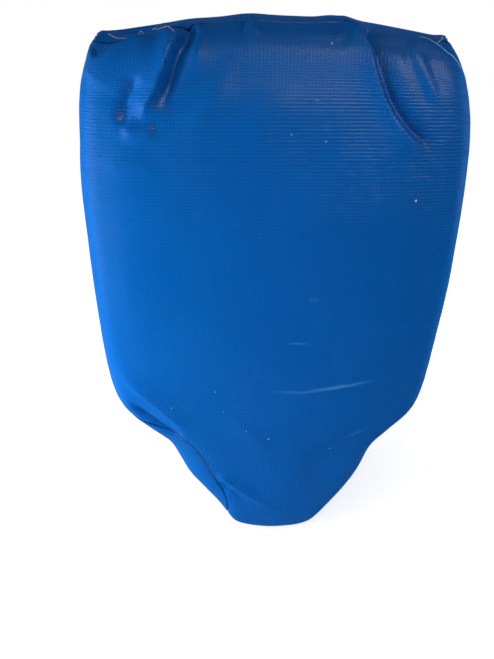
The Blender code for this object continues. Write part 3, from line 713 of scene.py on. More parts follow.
def lay_folds(points, normals):
    """Raise and sink the front's folds, out along the surface."""
    folded = (normals[:, 1] < FOLDED_FACING) & (points[:, 1] < FRONT_Y + FOLDED_DEPTH)
    front = np.flatnonzero(folded)
    flat = points[front][:, [0, 2]]
    lift = np.zeros(len(front))
    for _, route, height, left, right, fade_in, fade_out, roundness in FRONT_FOLDS:
        line = smooth_line(np.array(route) * MM)
        low = line.min(axis=0) - FOLD_MARGIN
        high = line.max(axis=0) + FOLD_MARGIN
        near = np.flatnonzero(((flat > low) & (flat < high)).all(axis=1))
        beside, along = beside_line(flat[near], line)
        wide = np.where(beside < 0, left, right) * MM
        fade = steps(0, fade_in, along) * steps(0, fade_out, 1 - along)
        lift[near] += height * MM * np.exp(-(np.abs(beside / wide) ** roundness)) * fade
    points[front] += normals[front] * lift[:, None]


def pull_corners(points):
    """Draw the cover's corners and flanks out or in, as its seams pull them."""
    for place, move, reach in CORNER_PULLS:
        gaps = np.linalg.norm(points - np.array(place) * MM, axis=1)
        points += falloff(gaps, reach * MM)[:, None] * np.array(move) * MM


def lay_top_swellings(points, normals):
    """Raise and sink places on the strip over the flat end."""
    top = np.flatnonzero(normals[:, 2] > TOP_FACING)
    for x, y, height, reach in TOP_SWELLINGS:
        gaps = np.linalg.norm(points[top][:, :2] - np.array((x, y)) * MM, axis=1)
        lift = height * MM * falloff(gaps, reach * MM)
        points[top] += normals[top] * lift[:, None]


def undulate(points, normals, free):
    """Slow unevenness of stuffed cloth."""
    places = points / UNDULATION_SIZE
    lift = np.array([noise.noise(place) for place in places]) * UNDULATION
    points += normals * (lift * free)[:, None]


def pucker(mesh, points, normals, free):
    """Small gathers that run across the seams and die away from them."""
    tree = point_tree(points[seam_marks(mesh)])
    lift = np.zeros(len(points))
    for vertex in np.flatnonzero(free > 0):
        place, _, gap = tree.find(points[vertex])
        if gap < 3 * PUCKER_REACH:
            swing = noise.noise(Vector(place) / PUCKER_PITCH * 2)
            fade = math.exp(-((gap / PUCKER_REACH) ** 2))
            lift[vertex] = swing * fade * gap / (gap + PUCKER_START)
    share = np.where([FACE in panels for panels in panels_at(mesh)], FACE_PUCKER_SHARE, 1)
    points += normals * (2 * PUCKER * lift * share * free)[:, None]


def free_marks(points):
    """How far each vertex may move: not at all where hardware lies on the back."""
    return 1 - steps(BACK_Y - FLAT_FADE, BACK_Y - FLAT_MARGIN, points[:, 1])


def halve_cells(mesh):
    """Cut the cells of the front in two each way, where the folds are sharp."""
    bm = bmesh.new()
    bm.from_mesh(mesh)
    edges = set()
    for face in bm.faces:
        if face.normal.y > FINE_FACING:
            continue
        middle = face.calc_center_median() / MM
        for low, high in FINE_CLOTH:
            if low[0] < middle.x < high[0] and low[1] < middle.z < high[1]:
                edges.update(face.edges)
    bmesh.ops.subdivide_edges(bm, edges=list(edges), cuts=1, use_grid_fill=True)
    bm.to_mesh(mesh)
    bm.free()


def sculpt(mesh):
    """Give the cloth its unevenness, puckers, swellings, folds and pulls."""
    points = vertex_values(mesh, "co")
    normals = vertex_values(mesh, "normal")
    free = free_marks(points)
    undulate(points, normals, free)
    pucker(mesh, points, normals, free)
    lay_top_swellings(points, normals)
    lay_folds(points, normals)
    pull_corners(points)
    move_points(mesh, points)


# The panels of the cover


def draw_back_rims(bm, inward):
    """Turn each panel's rim down into its seam, and leave a hair between the panels."""
    rim = [vert for vert in bm.verts if vert.is_boundary]
    moves = {}
    for vert in rim:
        inner = [edge for edge in vert.link_edges if not edge.is_boundary]
        edges = inner or vert.link_edges
        ways = [(edge.other_vert(vert).co - vert.co).normalized() for edge in edges]
        aside = sum(ways, Vector()).normalized() * SEAM_TRIM
        moves[vert] = aside + vert[inward] * SEAM_DIP
    for vert, move in moves.items():
        vert.co += move


def cover_panel(index, form):
    """One panel of the cover: its share of the form, with rolled rims and a wall inwards."""
    bm = bmesh.new()
    bm.from_mesh(form)
    inward = bm.verts.layers.float_vector.new("inward")
    bm.normal_update()
    for vert in bm.verts:
        vert[inward] = -vert.normal
    others = [face for face in bm.faces if face.material_index != index]
    bmesh.ops.delete(bm, geom=others, context="FACES")
    for face in bm.faces:
        face.material_index = 0
        face.smooth = True
    bmesh.ops.inset_region(bm, faces=bm.faces[:], thickness=SEAM_LIP, use_boundary=True)
    draw_back_rims(bm, inward)
    swept = bmesh.ops.extrude_face_region(bm, geom=bm.faces[:])["geom"]
    for vert in swept:
        if isinstance(vert, bmesh.types.BMVert):
            vert.co += vert[inward] * VINYL
    bmesh.ops.recalc_face_normals(bm, faces=bm.faces)
    return add_object(f"{PANELS[index]}_cover", bm)


def cut(item, tools):
    """Cut closed tools out of a piece, and apply the cuts."""
    for tool in tools:
        modifier = item.modifiers.new(tool.name, "BOOLEAN")
        modifier.object = tool
        modifier.solver = "EXACT"
    item.data = evaluated_mesh(item)
    item.modifiers.clear()
    for tool in tools:
        bpy.data.objects.remove(tool)


# How far before and behind the back a tool cuts
TOOL_REACH = 4 * MM


def box_tool(low, high):
    """A box-shaped tool between two corners."""
    bm = bmesh.new()
    bmesh.ops.create_cube(bm, size=1)
    low, high = Vector(low), Vector(high)
    bmesh.ops.scale(bm, vec=high - low, verts=bm.verts)
    bmesh.ops.translate(bm, vec=(low + high) / 2, verts=bm.verts)
    return add_object("box_tool", bm)


def post_tool(radius, x, z):
    """A round tool through the back."""
    bm = bmesh.new()
    place = Matrix.Translation((x, BACK_Y, z)) @ Matrix.Rotation(math.radians(90), 4, "X")
    bmesh.ops.create_cone(
        bm, cap_ends=True, segments=32, radius1=radius, radius2=radius, depth=2 * TOOL_REACH,
        matrix=place,
    )
    return add_object("post_tool", bm)


def back_tools(side):
    """The zip's window and the vent holes of one half of the back."""
    half = ZIP_WINDOW / 2
    low = (-half, BACK_Y - TOOL_REACH, ZIP_BOTTOM_Z - CLEARANCE)
    high = (half, BACK_Y + TOOL_REACH, ZIP_TOP_Z + CLEARANCE)
    vents = [post_tool(VENT_HOLE, x, z) for x, z in VENT_PLACES if x * side > 0]
    return [box_tool(low, high)] + vents


def add_cover(form):
    """The five panels of the cover, with their openings in the back."""
    for index, node in enumerate(PANELS):
        panel = cover_panel(index, form)
        if index in (BACK_LEFT, BACK_RIGHT):
            cut(panel, back_tools(-1 if index == BACK_LEFT else 1))
        finish_piece(panel, "pad", "vinyl", vinyl, node)


# Foam


# How far the foam's outside lies inside the cover's, and where its layers are split
FOAM_INSET = 7 * MM
STRIKE_FOAM = 42 * MM
CORE_FOAM = 45 * MM
STRIKE_CUT = FRONT_Y + STRIKE_FOAM
BACK_CUT = STRIKE_CUT + CORE_FOAM


def foam_slab(name, form, y_range):
    """One slab of foam: the inside of the cover between two planes."""
    bm = bmesh.new()
    bm.from_mesh(form)
    bm.normal_update()
    for vert in bm.verts:
        vert.co -= vert.normal * FOAM_INSET
    for limit, way in zip(y_range, (-1, 1)):
        if limit is None:
            continue
        whole = bm.verts[:] + bm.edges[:] + bm.faces[:]
        section = bmesh.ops.bisect_plane(
            bm, geom=whole, plane_co=(0, limit, 0), plane_no=(0, way, 0), clear_outer=True
        )
        rim = [edge for edge in section["geom_cut"] if isinstance(edge, bmesh.types.BMEdge)]
        bmesh.ops.holes_fill(bm, edges=rim, sides=0)
    for face in bm.faces:
        face.material_index = 0
        face.smooth = len(face.verts) < 5
    return add_object(name, bm)


def add_foam(form):
    """Three slabs of foam, a hair apart."""
    gap = CLEARANCE / 2
    layers = (
        ("strike", None, STRIKE_CUT - gap, strike_foam),
        ("core", STRIKE_CUT + gap, BACK_CUT - gap, core_foam),
        ("back", BACK_CUT + gap, None, back_foam),
    )
    for name, low, high, material in layers:
        layer = foam_slab(f"{name}_foam_slab", form, (low, high))
        finish_piece(layer, "pad", f"{name}_foam", material, f"foam_{name}_layer")


# Webbing handles, patches and zip tapes


# How much of a ribbon's thickness its edges are rounded by
RIBBON_ROUNDING = 0.3

# How far along its ramp a handle's edges begin to fold in, from 0 to 1, the turn in radians
# under which they count as flat, and the reach on each side over which its slope is taken
FOLD_START = 0.3
FLAT_TURN = 0.01
HANDLE_STEP = 2 * MM

# Cells of the webbing and of the zip's tapes, across and along
HANDLE_CELLS = (36, 96)
TAPE_CELLS = (8, 160)

# How much of a patch's thickness its rim is rounded by
PATCH_ROUNDING = 0.45

# The slight waves of the zip's tapes
TAPE_RIPPLE = 0.06 * MM
TAPE_WAVE = 9 * MM


def ribbon(name, cells, place, size, thickness):
    """A woven ribbon: a grid of cells laid by a function, its cloth place in metres."""
    bm = bmesh.new()
    bmesh.ops.create_grid(bm, x_segments=cells[0], y_segments=cells[1], size=1)
    cloth = bm.loops.layers.uv.new("cloth")
    for face in bm.faces:
        face.smooth = True
        for loop in face.loops:
            loop[cloth].uv = (loop.vert.co.x * size[0] / 2, loop.vert.co.y * size[1] / 2)
    for vert in bm.verts:
        vert.co = place(vert.co.x, vert.co.y)
    item = add_object(name, bm)
    wall = item.modifiers.new("thickness", "SOLIDIFY")
    wall.thickness = thickness
    wall.offset = 0
    wall.use_even_offset = True
    edge = item.modifiers.new("edges", "BEVEL")
    edge.width = thickness * RIBBON_ROUNDING
    edge.segments = 2
    edge.limit_method = "ANGLE"
    edge.angle_limit = SHARP_ANGLE
    item.data = evaluated_mesh(item)
    item.modifiers.clear()
    return item


def ramp_share(z):
    """How far along its ramp the handle is at a height, from 0 at its sewn end to 1."""
    return min(1, max(0, (HANDLE_LENGTH / 2 - HANDLE_SEWN - abs(z)) / HANDLE_RAMP))


def folded_edge(reach, turn):
    """Where webbing lies at a reach from its middle when its edge is folded by a turn."""
    bend = GRIP_THICKNESS / 2 - WEBBING / 2
    flat = GRIP_WIDTH / 2 - GRIP_THICKNESS / 2
    length = math.pi * bend
    if reach <= flat or turn < FLAT_TURN:
        return reach, 0
    radius = length / turn
    angle = turn * min(1, (reach - flat) / length)
    x = flat + radius * math.sin(angle)
    y = -radius * (1 - math.cos(angle))
    beyond = max(0, reach - flat - length)
    return x + beyond * math.cos(angle), y - beyond * math.sin(angle)


def handle_place(side):
    """The place of a handle's webbing, by its shares across and along."""
    base_y = BACK_Y + CLEARANCE + PATCH + CLEARANCE + WEBBING / 2

    def middle(z):
        rise = float(steps(0, 1, ramp_share(z)))
        return Vector((0, base_y * (1 - rise) + (GRIP_THICKNESS - WEBBING) / 2 * rise, z))

    def place(across, along):
        z = along * HANDLE_LENGTH / 2
        fold = math.pi * float(steps(FOLD_START, 1, ramp_share(z)))
        x, y = folded_edge(abs(across) * WEBBING_WIDTH / 2, fold)
        way = (middle(z + HANDLE_STEP) - middle(z - HANDLE_STEP)).normalized()
        out = Vector((0, way.z, -way.y))
        point = middle(z) + out * y
        point.x = side * HANDLE_SPACING / 2 + math.copysign(x, across)
        return point

    return place


def add_handles():
    """The two webbing grips, flat at their sewn ends and folded in between."""
    for side, word in SIDES:
        size = (WEBBING_WIDTH, HANDLE_LENGTH)
        handle = ribbon(f"webbing_handle_{word}", HANDLE_CELLS, handle_place(side), size, WEBBING)
        finish_piece(handle, "pad", "webbing", webbing, f"handle_{word}")


def handle_ends():
    """The words for the handles' four sewn ends, with their middles across and up."""
    for side, word in SIDES:
        for end, level in ((1, "upper"), (-1, "lower")):
            x = side * HANDLE_SPACING / 2
            z = end * (HANDLE_LENGTH - HANDLE_SEWN) / 2
            yield f"{level}_{word}", x, z


def round_edges(bm, edges, radius, segments):
    """Round the edges of a bmesh."""
    bmesh.ops.bevel(
        bm, geom=edges, offset=radius, segments=segments, profile=0.5, affect="EDGES", material=-1
    )


def add_patches():
    """Vinyl patches under the handles' ends, with round corners and soft edges."""
    middle_y = BACK_Y + CLEARANCE + PATCH / 2
    for words, x, z in handle_ends():
        bm = bmesh.new()
        bmesh.ops.create_cube(bm, size=1)
        bmesh.ops.scale(bm, vec=(PATCH_SIZE, PATCH, PATCH_SIZE), verts=bm.verts)
        bmesh.ops.translate(bm, vec=(x, middle_y, z), verts=bm.verts)
        upright = [edge for edge in bm.edges if edge.calc_length() < 2 * PATCH]
        round_edges(bm, upright, PATCH_CORNER, 8)
        rim = [edge for edge in bm.edges if all(vert.co.y > middle_y for vert in edge.verts)]
        round_edges(bm, rim, PATCH * PATCH_ROUNDING, 3)
        cloth = bm.loops.layers.uv.new("cloth")
        for face in bm.faces:
            for loop in face.loops:
                loop[cloth].uv = (loop.vert.co.x, loop.vert.co.z)
        name = f"handle_patch_{words}"
        patch = add_object(f"{name}_vinyl", bm)
        patch.data.shade_smooth()
        patch.data.set_sharp_from_angle(angle=SHARP_ANGLE)
        finish_piece(patch, "pad", "vinyl", vinyl, name)


def add_tapes():
    """The zip's woven tapes, which lie under the cover's edges."""
    for side, word in SIDES:
        low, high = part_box(f"zipper_tape_{word}")
        middle, half = (low + high) / 2, (high - low) / 2

        def place(across, along):
            z = middle.z + along * half.z
            ripple = TAPE_RIPPLE * math.sin(z / TAPE_WAVE)
            return Vector((middle.x + across * half.x, middle.y + ripple, z))

        size = (2 * half.x, 2 * half.z)
        tape = ribbon(f"woven_tape_{word}", TAPE_CELLS, place, size, 2 * half.y)
        finish_piece(tape, "pad", "zip_tape", zip_tape, f"zipper_tape_{word}")


# Sewing


def stitch_row(row, thread, stitch, gap):
    """One row of stitches as a mesh: each a short rounded length of thread."""
    bm = bmesh.new()
    for start, end in zip(row, row[1:]):
        way = end - start
        count = max(1, round(way.length / (stitch + gap)))
        pitch = way.length / count
        turn = way.to_track_quat("Z", "Y").to_matrix().to_4x4()
        shape = Matrix.Diagonal((thread, thread, (pitch - gap) / 2, 1))
        for n in range(count):
            centre = Matrix.Translation(start + way * (n + 0.5) / count)
            place = centre @ turn @ shape
            bmesh.ops.create_uvsphere(bm, u_segments=6, v_segments=5, radius=1, matrix=place)
    return mesh_from("stitch row", bm)


def add_stitches(name, rows, thread=THREAD, stitch=STITCH, gap=STITCH_GAP):
    """Rows of dark stitches, half sunk in the cloth that they hold."""
    bm = bmesh.new()
    for row in rows:
        bm.from_mesh(stitch_row(row, thread, stitch, gap))
    for face in bm.faces:
        face.smooth = True
    item = add_object(name, bm)
    finish_piece(item, "pad", "webbing", dark_thread)


def rectangle(x, z, half_x, half_z, y):
    """The corners of a rectangle on the back, with the first one again at the end."""
    corners = ((-1, -1), (1, -1), (1, 1), (-1, 1), (-1, -1))
    return [Vector((x + i * half_x, y, z + k * half_z)) for i, k in corners]


# How far inside the edges of the webbing and the patches their rows of stitches lie
HANDLE_MARGIN = 5 * MM
PATCH_MARGIN = 4 * MM

# How far outside the zip's window its rows lie, beside it and past its ends, and how far
# above the vinyl
ZIP_MARGIN = 3 * MM
ZIP_BAR = 4 * MM
ZIP_STITCH_LIFT = 0.1 * MM


def add_handle_stitches():
    """A box with a cross on each sewn end of the webbing."""
    y = BACK_Y + CLEARANCE + PATCH + CLEARANCE + WEBBING
    rows = []
    half_x, half_z = WEBBING_WIDTH / 2 - HANDLE_MARGIN, HANDLE_SEWN / 2 - HANDLE_MARGIN
    for _, x, z in handle_ends():
        box = rectangle(x, z, half_x, half_z, y)
        rows += [box, [box[0], box[2]], [box[1], box[3]]]
    add_stitches("handle_stitching", rows)


def add_patch_stitches():
    """A row of stitches along each side of each patch."""
    y = BACK_Y + CLEARANCE + PATCH
    half = PATCH_SIZE / 2 - PATCH_MARGIN
    straight = half - (PATCH_CORNER - PATCH_MARGIN)
    rows = []
    for _, x, z in handle_ends():
        level = rectangle(x, z, straight, half, y)
        upright = rectangle(x, z, half, straight, y)
        rows += [level[0:2], level[2:4], upright[1:3], upright[3:5]]
    add_stitches("patch_stitching", rows)


def add_zip_stitches():
    """Two rows beside the zip, and a bar across the tape at each end of it."""
    y = BACK_Y + ZIP_STITCH_LIFT
    x = ZIP_WINDOW / 2 + ZIP_MARGIN
    z_low, z_high = ZIP_BOTTOM_Z - ZIP_BAR, ZIP_TOP_Z + ZIP_BAR
    rows = [[Vector((side * x, y, z_low)), Vector((side * x, y, z_high))] for side, _ in SIDES]
    for z in (z_low, z_high):
        rows.append([Vector((-x, y, z)), Vector((x, y, z))])
    add_stitches("zip_stitching", rows)


# Where a look at the cover starts before the front, and how deep it looks for an edge
LOOK_FROM = 100 * MM
LOOK_DEPTH = 30 * MM


def on_cover(tree, x, z, lift):
    """The place on the front of the cover at a point across and up, a little above it."""
    place, normal, _, _ = tree.ray_cast(Vector((x, FRONT_Y - LOOK_FROM, z)), Vector((0, 1, 0)))
    if place is None:
        place, normal, _, _ = tree.find_nearest(Vector((x, FRONT_Y + LOOK_DEPTH, z)))
    return place + normal * lift


# Threads that show at the shoulders, in millimetres across and above the grips
SHOULDER_THREADS = (
    ((-135, 233), (-130, 231), (-126, 230), (-120, 230)),
    ((-112, 234), (-110, 235), (-106, 233)),
    ((-99, 236), (-96, 237), (-93, 236), (-90, 237), (-87, 238)),
    ((-88, 238), (-84, 238), (-79, 235)),
    ((115, 232), (119, 230), (122, 228), (125, 226)),
    ((125, 226), (130, 222), (135, 219), (139, 215), (143, 211)),
    ((123, 228), (128, 230), (133, 232)),
)

# Half the loose thread's thickness, and how far above the cloth its middle lies
LOOSE_THREAD = 0.16 * MM
LOOSE_LIFT = 0.25 * MM

# Heights between which the front seam's own stitches show at the lower left, how far right
# of the seam and above the cloth they lie, and their sizes. The row takes every third of
# the seam's points
STITCHED_FROM, STITCHED_TO = -158 * MM, -232 * MM
SEAM_SETBACK = 0.8 * MM
SEAM_LIFT = 0.4 * MM
SEAM_SEWING = {"thread": 0.7 * MM, "stitch": 2.2 * MM, "gap": 1.6 * MM}
SEAM_STRIDE = 3


def add_shoulder_threads(tree):
    """White thread that has pulled up out of the shoulder seams."""
    curve = bpy.data.curves.new("shoulder_threads", "CURVE")
    curve.dimensions = "3D"
    curve.bevel_depth = LOOSE_THREAD
    curve.bevel_resolution = 1
    curve.use_fill_caps = True
    for route in SHOULDER_THREADS:
        line = smooth_line(np.array(route) * MM, per_span=4)
        spline = curve.splines.new("POLY")
        spline.points.add(len(line) - 1)
        for point, (x, z) in zip(spline.points, line):
            point.co = (*on_cover(tree, x, z, LOOSE_LIFT), 1)
    item = add_object("thread_curve", curve)
    thread = add_object("shoulder_threads", evaluated_mesh(item))
    bpy.data.objects.remove(item)
    finish_piece(thread, "pad", "webbing", white_thread)


def add_seam_stitches(form, tree):
    """Dark stitches on the front seam, where it has rolled into view."""
    seam = [
        vert.co for vert, panels in zip(form.vertices, panels_at(form))
        if {FACE, SIDE} <= panels and vert.co.x < 0 and STITCHED_TO < vert.co.z < STITCHED_FROM
    ]
    seam.sort(key=lambda place: -place.z)
    places = seam[::SEAM_STRIDE]
    row = [on_cover(tree, place.x + SEAM_SETBACK, place.z, SEAM_LIFT) for place in places]
    add_stitches("seam_stitching", [row], **SEAM_SEWING)


# Materials


# Sockets of a Mix node for colours: its first, its second and the mixed one
FIRST, SECOND, MIXED = 6, 7, 2


def linear(code):
    """The linear colour of an sRGB hex code."""
    shares = [int(code[n:n + 2], 16) / 255 for n in (1, 3, 5)]
    return (*[s / 12.92 if s <= 0.04045 else ((s + 0.055) / 1.055) ** 2.4 for s in shares], 1.0)


def fill(tree, node, inputs):
    """Give each input of a node its value or its link."""
    for socket, value in inputs.items():
        if isinstance(value, bpy.types.NodeSocket):
            tree.links.new(value, node.inputs[socket])
        else:
            node.inputs[socket].default_value = value


def add_node(tree, kind, inputs, output=0, **settings):
    """Add a shader node with its settings and inputs, and give its first or a named output."""
    node = tree.nodes.new("ShaderNode" + kind)
    for name, value in settings.items():
        setattr(node, name, value)
    fill(tree, node, inputs)
    return node.outputs[output]


def new_material(name):
    """A material with nodes, its node tree and its Principled shader."""
    material = bpy.data.materials.new(name)
    material.use_nodes = True
    tree = material.node_tree
    return material, tree, tree.nodes["Principled BSDF"]


def thread_lines(tree, cloth, direction, spacing):
    """Soft lines of thread across the cloth, at their real spacing, from 0 to 1."""
    return add_node(
        tree, "TexWave", {"Vector": cloth, "Scale": 2 * math.pi / 20 / spacing}, "Fac",
        wave_type="BANDS", bands_direction=direction, wave_profile="SIN",
    )


# The scrim's two sets of threads: their way over the cloth, the height at which they show
# in full, and how much of them shows at the middle height and past it. Which set shows at which
# height follows where the light catches it, so the pale tint that the threads give the vinyl's
# colour is partly painted sheen
SCRIM_SETS = (("X", -150 * MM, 0.45), ("Y", 190 * MM, 0.35))
SCRIM_MIDDLE = 30 * MM

# How narrow the threads look, and the sizes of the patches in which more or less of them shows
SCRIM_NARROWNESS = 4.0
SCRIM_PATCHES = (9 * MM, 60 * MM)


def scrim_threads(tree, cloth, solid):
    """The threads that print through the vinyl: upright ones low down, level ones high up, where the
    light catches each set; the pale tint they give the vinyl is partly painted sheen.
    """
    level = add_node(tree, "SeparateXYZ", {"Vector": solid}, "Z")
    sets = []
    for direction, full_z, least in SCRIM_SETS:
        lines = thread_lines(tree, cloth, direction, SCRIM_PITCH)
        narrow = add_node(tree, "Math", {0: lines, 1: SCRIM_NARROWNESS}, operation="POWER")
        span = {"Value": level, "From Min": SCRIM_MIDDLE, "From Max": full_z, "To Min": least}
        shown = add_node(tree, "MapRange", span)
        sets.append(add_node(tree, "Math", {0: narrow, 1: shown}, operation="MULTIPLY"))
    threads = add_node(tree, "Math", {0: sets[0], 1: sets[1]}, operation="MAXIMUM")
    patches = [
        add_node(tree, "TexNoise", {"Vector": cloth, "Scale": 1 / size})
        for size in SCRIM_PATCHES
    ]
    shown = add_node(tree, "Math", {0: patches[0], 1: patches[1]}, operation="ADD")
    shown = add_node(tree, "Math", {0: shown, 1: shown}, operation="MULTIPLY")
    return add_node(tree, "Math", {0: threads, 1: shown}, operation="MULTIPLY")


# Dirt and scuffs on the front, in millimetres: across, above the grips, half the width,
# how many times wider than high, and the colour
SPECKS = (
    (87, 123, 1.2, 1, "#5A5F66"),
    (121, 112, 1.0, 1, "#C8D4E2"),
    (40, 228, 0.8, 1, "#9FB4D8"),
    (30, 190, 2.4, 4, "#7FA4DC"),
    (12, 165, 0.8, 1, "#6F98D6"),
    (40, 160, 0.9, 1, "#6F98D6"),
    (40, 19, 6.5, 3, "#3F8AD8"),
    (-56, -92, 0.8, 1, "#7FA4DC"),
    (-104, -115, 0.8, 1, "#7FA4DC"),
    (-48, -119, 0.8, 1, "#6F98D6"),
    (-23, -146, 0.8, 1, "#6F98D6"),
    (2, -158, 1.0, 1, "#8FB0E0"),
    (73, -176, 0.9, 1, "#7F9CC8"),
)

# Painted highlights along the crests of the long crease and the flank crease, and one soft pale scuff
# near the middle: the same, with the streak's slope before its colour
HIGHLIGHT_AND_SCUFF_STREAKS = (
    (26, -90, 30, 12, 0, "#2F7ECF"),
    (72, -84, 44, 14, 0.17, "#4C97E2"),
    (28, -30, 14, 8, 0, "#3483D2"),
    (102, -151, 16, 8, 0.5, "#2F7ECF"),
)

# The fine scratches that make up a wide scuff, and how deep behind the front marks reach
SCRATCH = 1.6 * MM
SCRATCHED = 0.54
MARKED_DEPTH = 40 * MM


def gap_to_mark(tree, solid, x, z, stretch, slope=0):
    """Distance from the middle of a mark that is so many times wider than high."""
    ways = ((1, 0, 0), (-slope * stretch, 0, stretch))
    spans = [
        add_node(tree, "VectorMath", {0: solid, 1: way}, "Value", operation="DOT_PRODUCT")
        for way in ways
    ]
    flat = add_node(tree, "CombineXYZ", {"X": spans[0], "Z": spans[1]})
    middle = (x * MM, 0, (z - slope * x) * stretch * MM)
    return add_node(tree, "VectorMath", {0: flat, 1: middle}, "Value", operation="DISTANCE")


def marks_on_front(tree, solid):
    """Where each mark shows, from 0 to 1, and its colour: dirt and scuffs, and painted highlights on the
    creases' crests.
    """
    grit = add_node(tree, "TexNoise", {"Vector": solid, "Scale": 1 / SCRATCH, "Detail": 4.0})
    scratched = add_node(tree, "Math", {0: grit, 1: SCRATCHED}, operation="GREATER_THAN")
    for x, z, reach, stretch, code in SPECKS:
        gap = gap_to_mark(tree, solid, x, z, stretch)
        spot = add_node(tree, "Math", {0: gap, 1: reach * MM}, operation="LESS_THAN")
        if stretch > 1:
            spot = add_node(tree, "Math", {0: spot, 1: scratched}, operation="MULTIPLY")
        yield spot, code
    # Painted highlights on the creases' crests, and one soft scuff, each fading out from its middle
    for x, z, reach, stretch, slope, code in HIGHLIGHT_AND_SCUFF_STREAKS:
        gap = gap_to_mark(tree, solid, x, z, stretch, slope)
        soft = {"Value": gap, "From Min": reach * MM, "From Max": 0.0}
        yield add_node(tree, "MapRange", soft), code


def marked(tree, solid, clean):
    """The clean colour with the marks on the front over it, painted crease highlights among them."""
    colour = clean
    for spot, code in marks_on_front(tree, solid):
        inputs = {"Factor": spot, FIRST: colour, SECOND: linear(code)}
        colour = add_node(tree, "Mix", inputs, MIXED, data_type="RGBA")
    place = add_node(tree, "SeparateXYZ", {"Vector": solid}, "Y")
    limit = FRONT_Y + MARKED_DEPTH
    behind = add_node(tree, "Math", {0: place, 1: limit}, operation="GREATER_THAN")
    inputs = {"Factor": behind, FIRST: colour, SECOND: clean}
    return add_node(tree, "Mix", inputs, MIXED, data_type="RGBA")


# The vinyl's own blues with the size of the clouds that they mix in, the pale blue of the
# threads, partly their own tone and partly painted sheen on their crests, and the size of the
# skin's grain
VINYL_BLUES = ("#005EB6", "#0066C2")
VINYL_CLOUD = 70 * MM
THREAD_AND_SHEEN_BLUE = "#3C8CE0"
THREAD_AND_SHEEN_SHARE = 0.2
GRAIN = 0.9 * MM
GRAIN_SHARE = 0.2

# How deep the threads and the grain look in the sheet and in the lacquer over it
RELIEFS = (("Normal", 0.42 * MM), ("Coat Normal", 0.2 * MM))


def vinyl_material():
    """PVC calendered hot onto a woven polyester scrim, and lacquered.

    The eye gets an even, saturated blue that doesn't pale at its edges, a raised grid where
    the scrim's threads print through, their crests paler partly in their own tone and partly
    by painted sheen, and the weak, broken gloss of the thin clear lacquer.
    """
    material, tree, shader = new_material("laminated_pvc_scrim")
    cloth = add_node(tree, "TexCoord", {}, "UV")
    solid = add_node(tree, "TexCoord", {}, "Object")
    threads = scrim_threads(tree, cloth, solid)
    grain = add_node(tree, "TexNoise", {"Vector": solid, "Scale": 1 / GRAIN, "Detail": 3.0})
    raised = {0: grain, 1: GRAIN_SHARE, 2: threads}
    height = add_node(tree, "Math", raised, operation="MULTIPLY_ADD")
    for socket, depth in RELIEFS:
        relief = {"Height": height, "Distance": depth, "Strength": 0.75}
        fill(tree, shader, {socket: add_node(tree, "Bump", relief)})
    cloud = add_node(tree, "TexNoise", {"Vector": solid, "Scale": 1 / VINYL_CLOUD, "Detail": 3.0})
    blues = {"Factor": cloud, FIRST: linear(VINYL_BLUES[0]), SECOND: linear(VINYL_BLUES[1])}
    blue = add_node(tree, "Mix", blues, MIXED, data_type="RGBA")
    # The threads' paler crests: partly their own tone, partly painted sheen where the light catches them
    thread_and_sheen_tint = add_node(tree, "Math", {0: threads, 1: THREAD_AND_SHEEN_SHARE}, operation="MULTIPLY")
    blues = {"Factor": thread_and_sheen_tint, FIRST: blue, SECOND: linear(THREAD_AND_SHEEN_BLUE)}
    blue = add_node(tree, "Mix", blues, MIXED, data_type="RGBA")
    gloss = add_node(tree, "MapRange", {"Value": cloud, "To Min": 0.2, "To Max": 0.34})
    fill(tree, shader, {
        "Base Color": marked(tree, solid, blue),
        "Specular IOR Level": 0.0,
        "Coat Weight": 0.05,
        "Coat IOR": 1.5,
        "Coat Roughness": gloss,
    })
    return material


def foam_material(name, code, cell):
    """Foam sawn from a block: dull, with the small round cells that the saw has opened."""
    material, tree, shader = new_material(name)
    solid = add_node(tree, "TexCoord", {}, "Object")
    cells = add_node(tree, "TexVoronoi", {"Vector": solid, "Scale": 1 / cell}, "Distance")
    tones = {"Factor": cells, FIRST: linear(code), SECOND: linear("#202226")}
    fill(tree, shader, {
        "Base Color": add_node(tree, "Mix", tones, MIXED, data_type="RGBA"),
        "Roughness": 0.9,
        "Specular IOR Level": 0.2,
        "Normal": add_node(tree, "Bump", {"Height": cells, "Distance": 0.3 * MM, "Strength": 0.6}),
    })
    return material


def woven_material(name, code, pale, thread, roughness=0.8):
    """Woven ribbon: ribs across it with the warp's fine lines between, pale on their crests."""
    material, tree, shader = new_material(name)
    cloth = add_node(tree, "TexCoord", {}, "UV")
    ribs = thread_lines(tree, cloth, "Y", thread)
    lines = thread_lines(tree, cloth, "X", thread * 0.75)
    weave = add_node(tree, "Math", {0: ribs, 1: lines}, operation="MULTIPLY")
    tones = {"Factor": weave, FIRST: linear(code), SECOND: linear(pale)}
    fill(tree, shader, {
        "Base Color": add_node(tree, "Mix", tones, MIXED, data_type="RGBA"),
        "Roughness": roughness,
        "Specular IOR Level": 0.35,
        "Normal": add_node(tree, "Bump", {"Height": weave, "Distance": 0.35 * MM, "Strength": 0.8}),
    })
    return material


def grained_material(name, code, grain, depth, strength, **shading):
    """A material of one colour with a fine, irregular grain that softens its gloss."""
    material, tree, shader = new_material(name)
    solid = add_node(tree, "TexCoord", {}, "Object")
    grit = add_node(tree, "TexNoise", {"Vector": solid, "Scale": 1 / grain})
    relief = {"Height": grit, "Distance": depth, "Strength": strength}
    fill(tree, shader, {"Base Color": linear(code), "Normal": add_node(tree, "Bump", relief)})
    fill(tree, shader, {name.replace("_", " "): value for name, value in shading.items()})
    return material


def thread_material(name, code):
    """Twisted polyester sewing thread: its plies catch the light in a slight sheen."""
    return grained_material(
        name, code, 0.25 * MM, 0.05 * MM, 0.5, Roughness=0.55, Specular_IOR_Level=0.4
    )


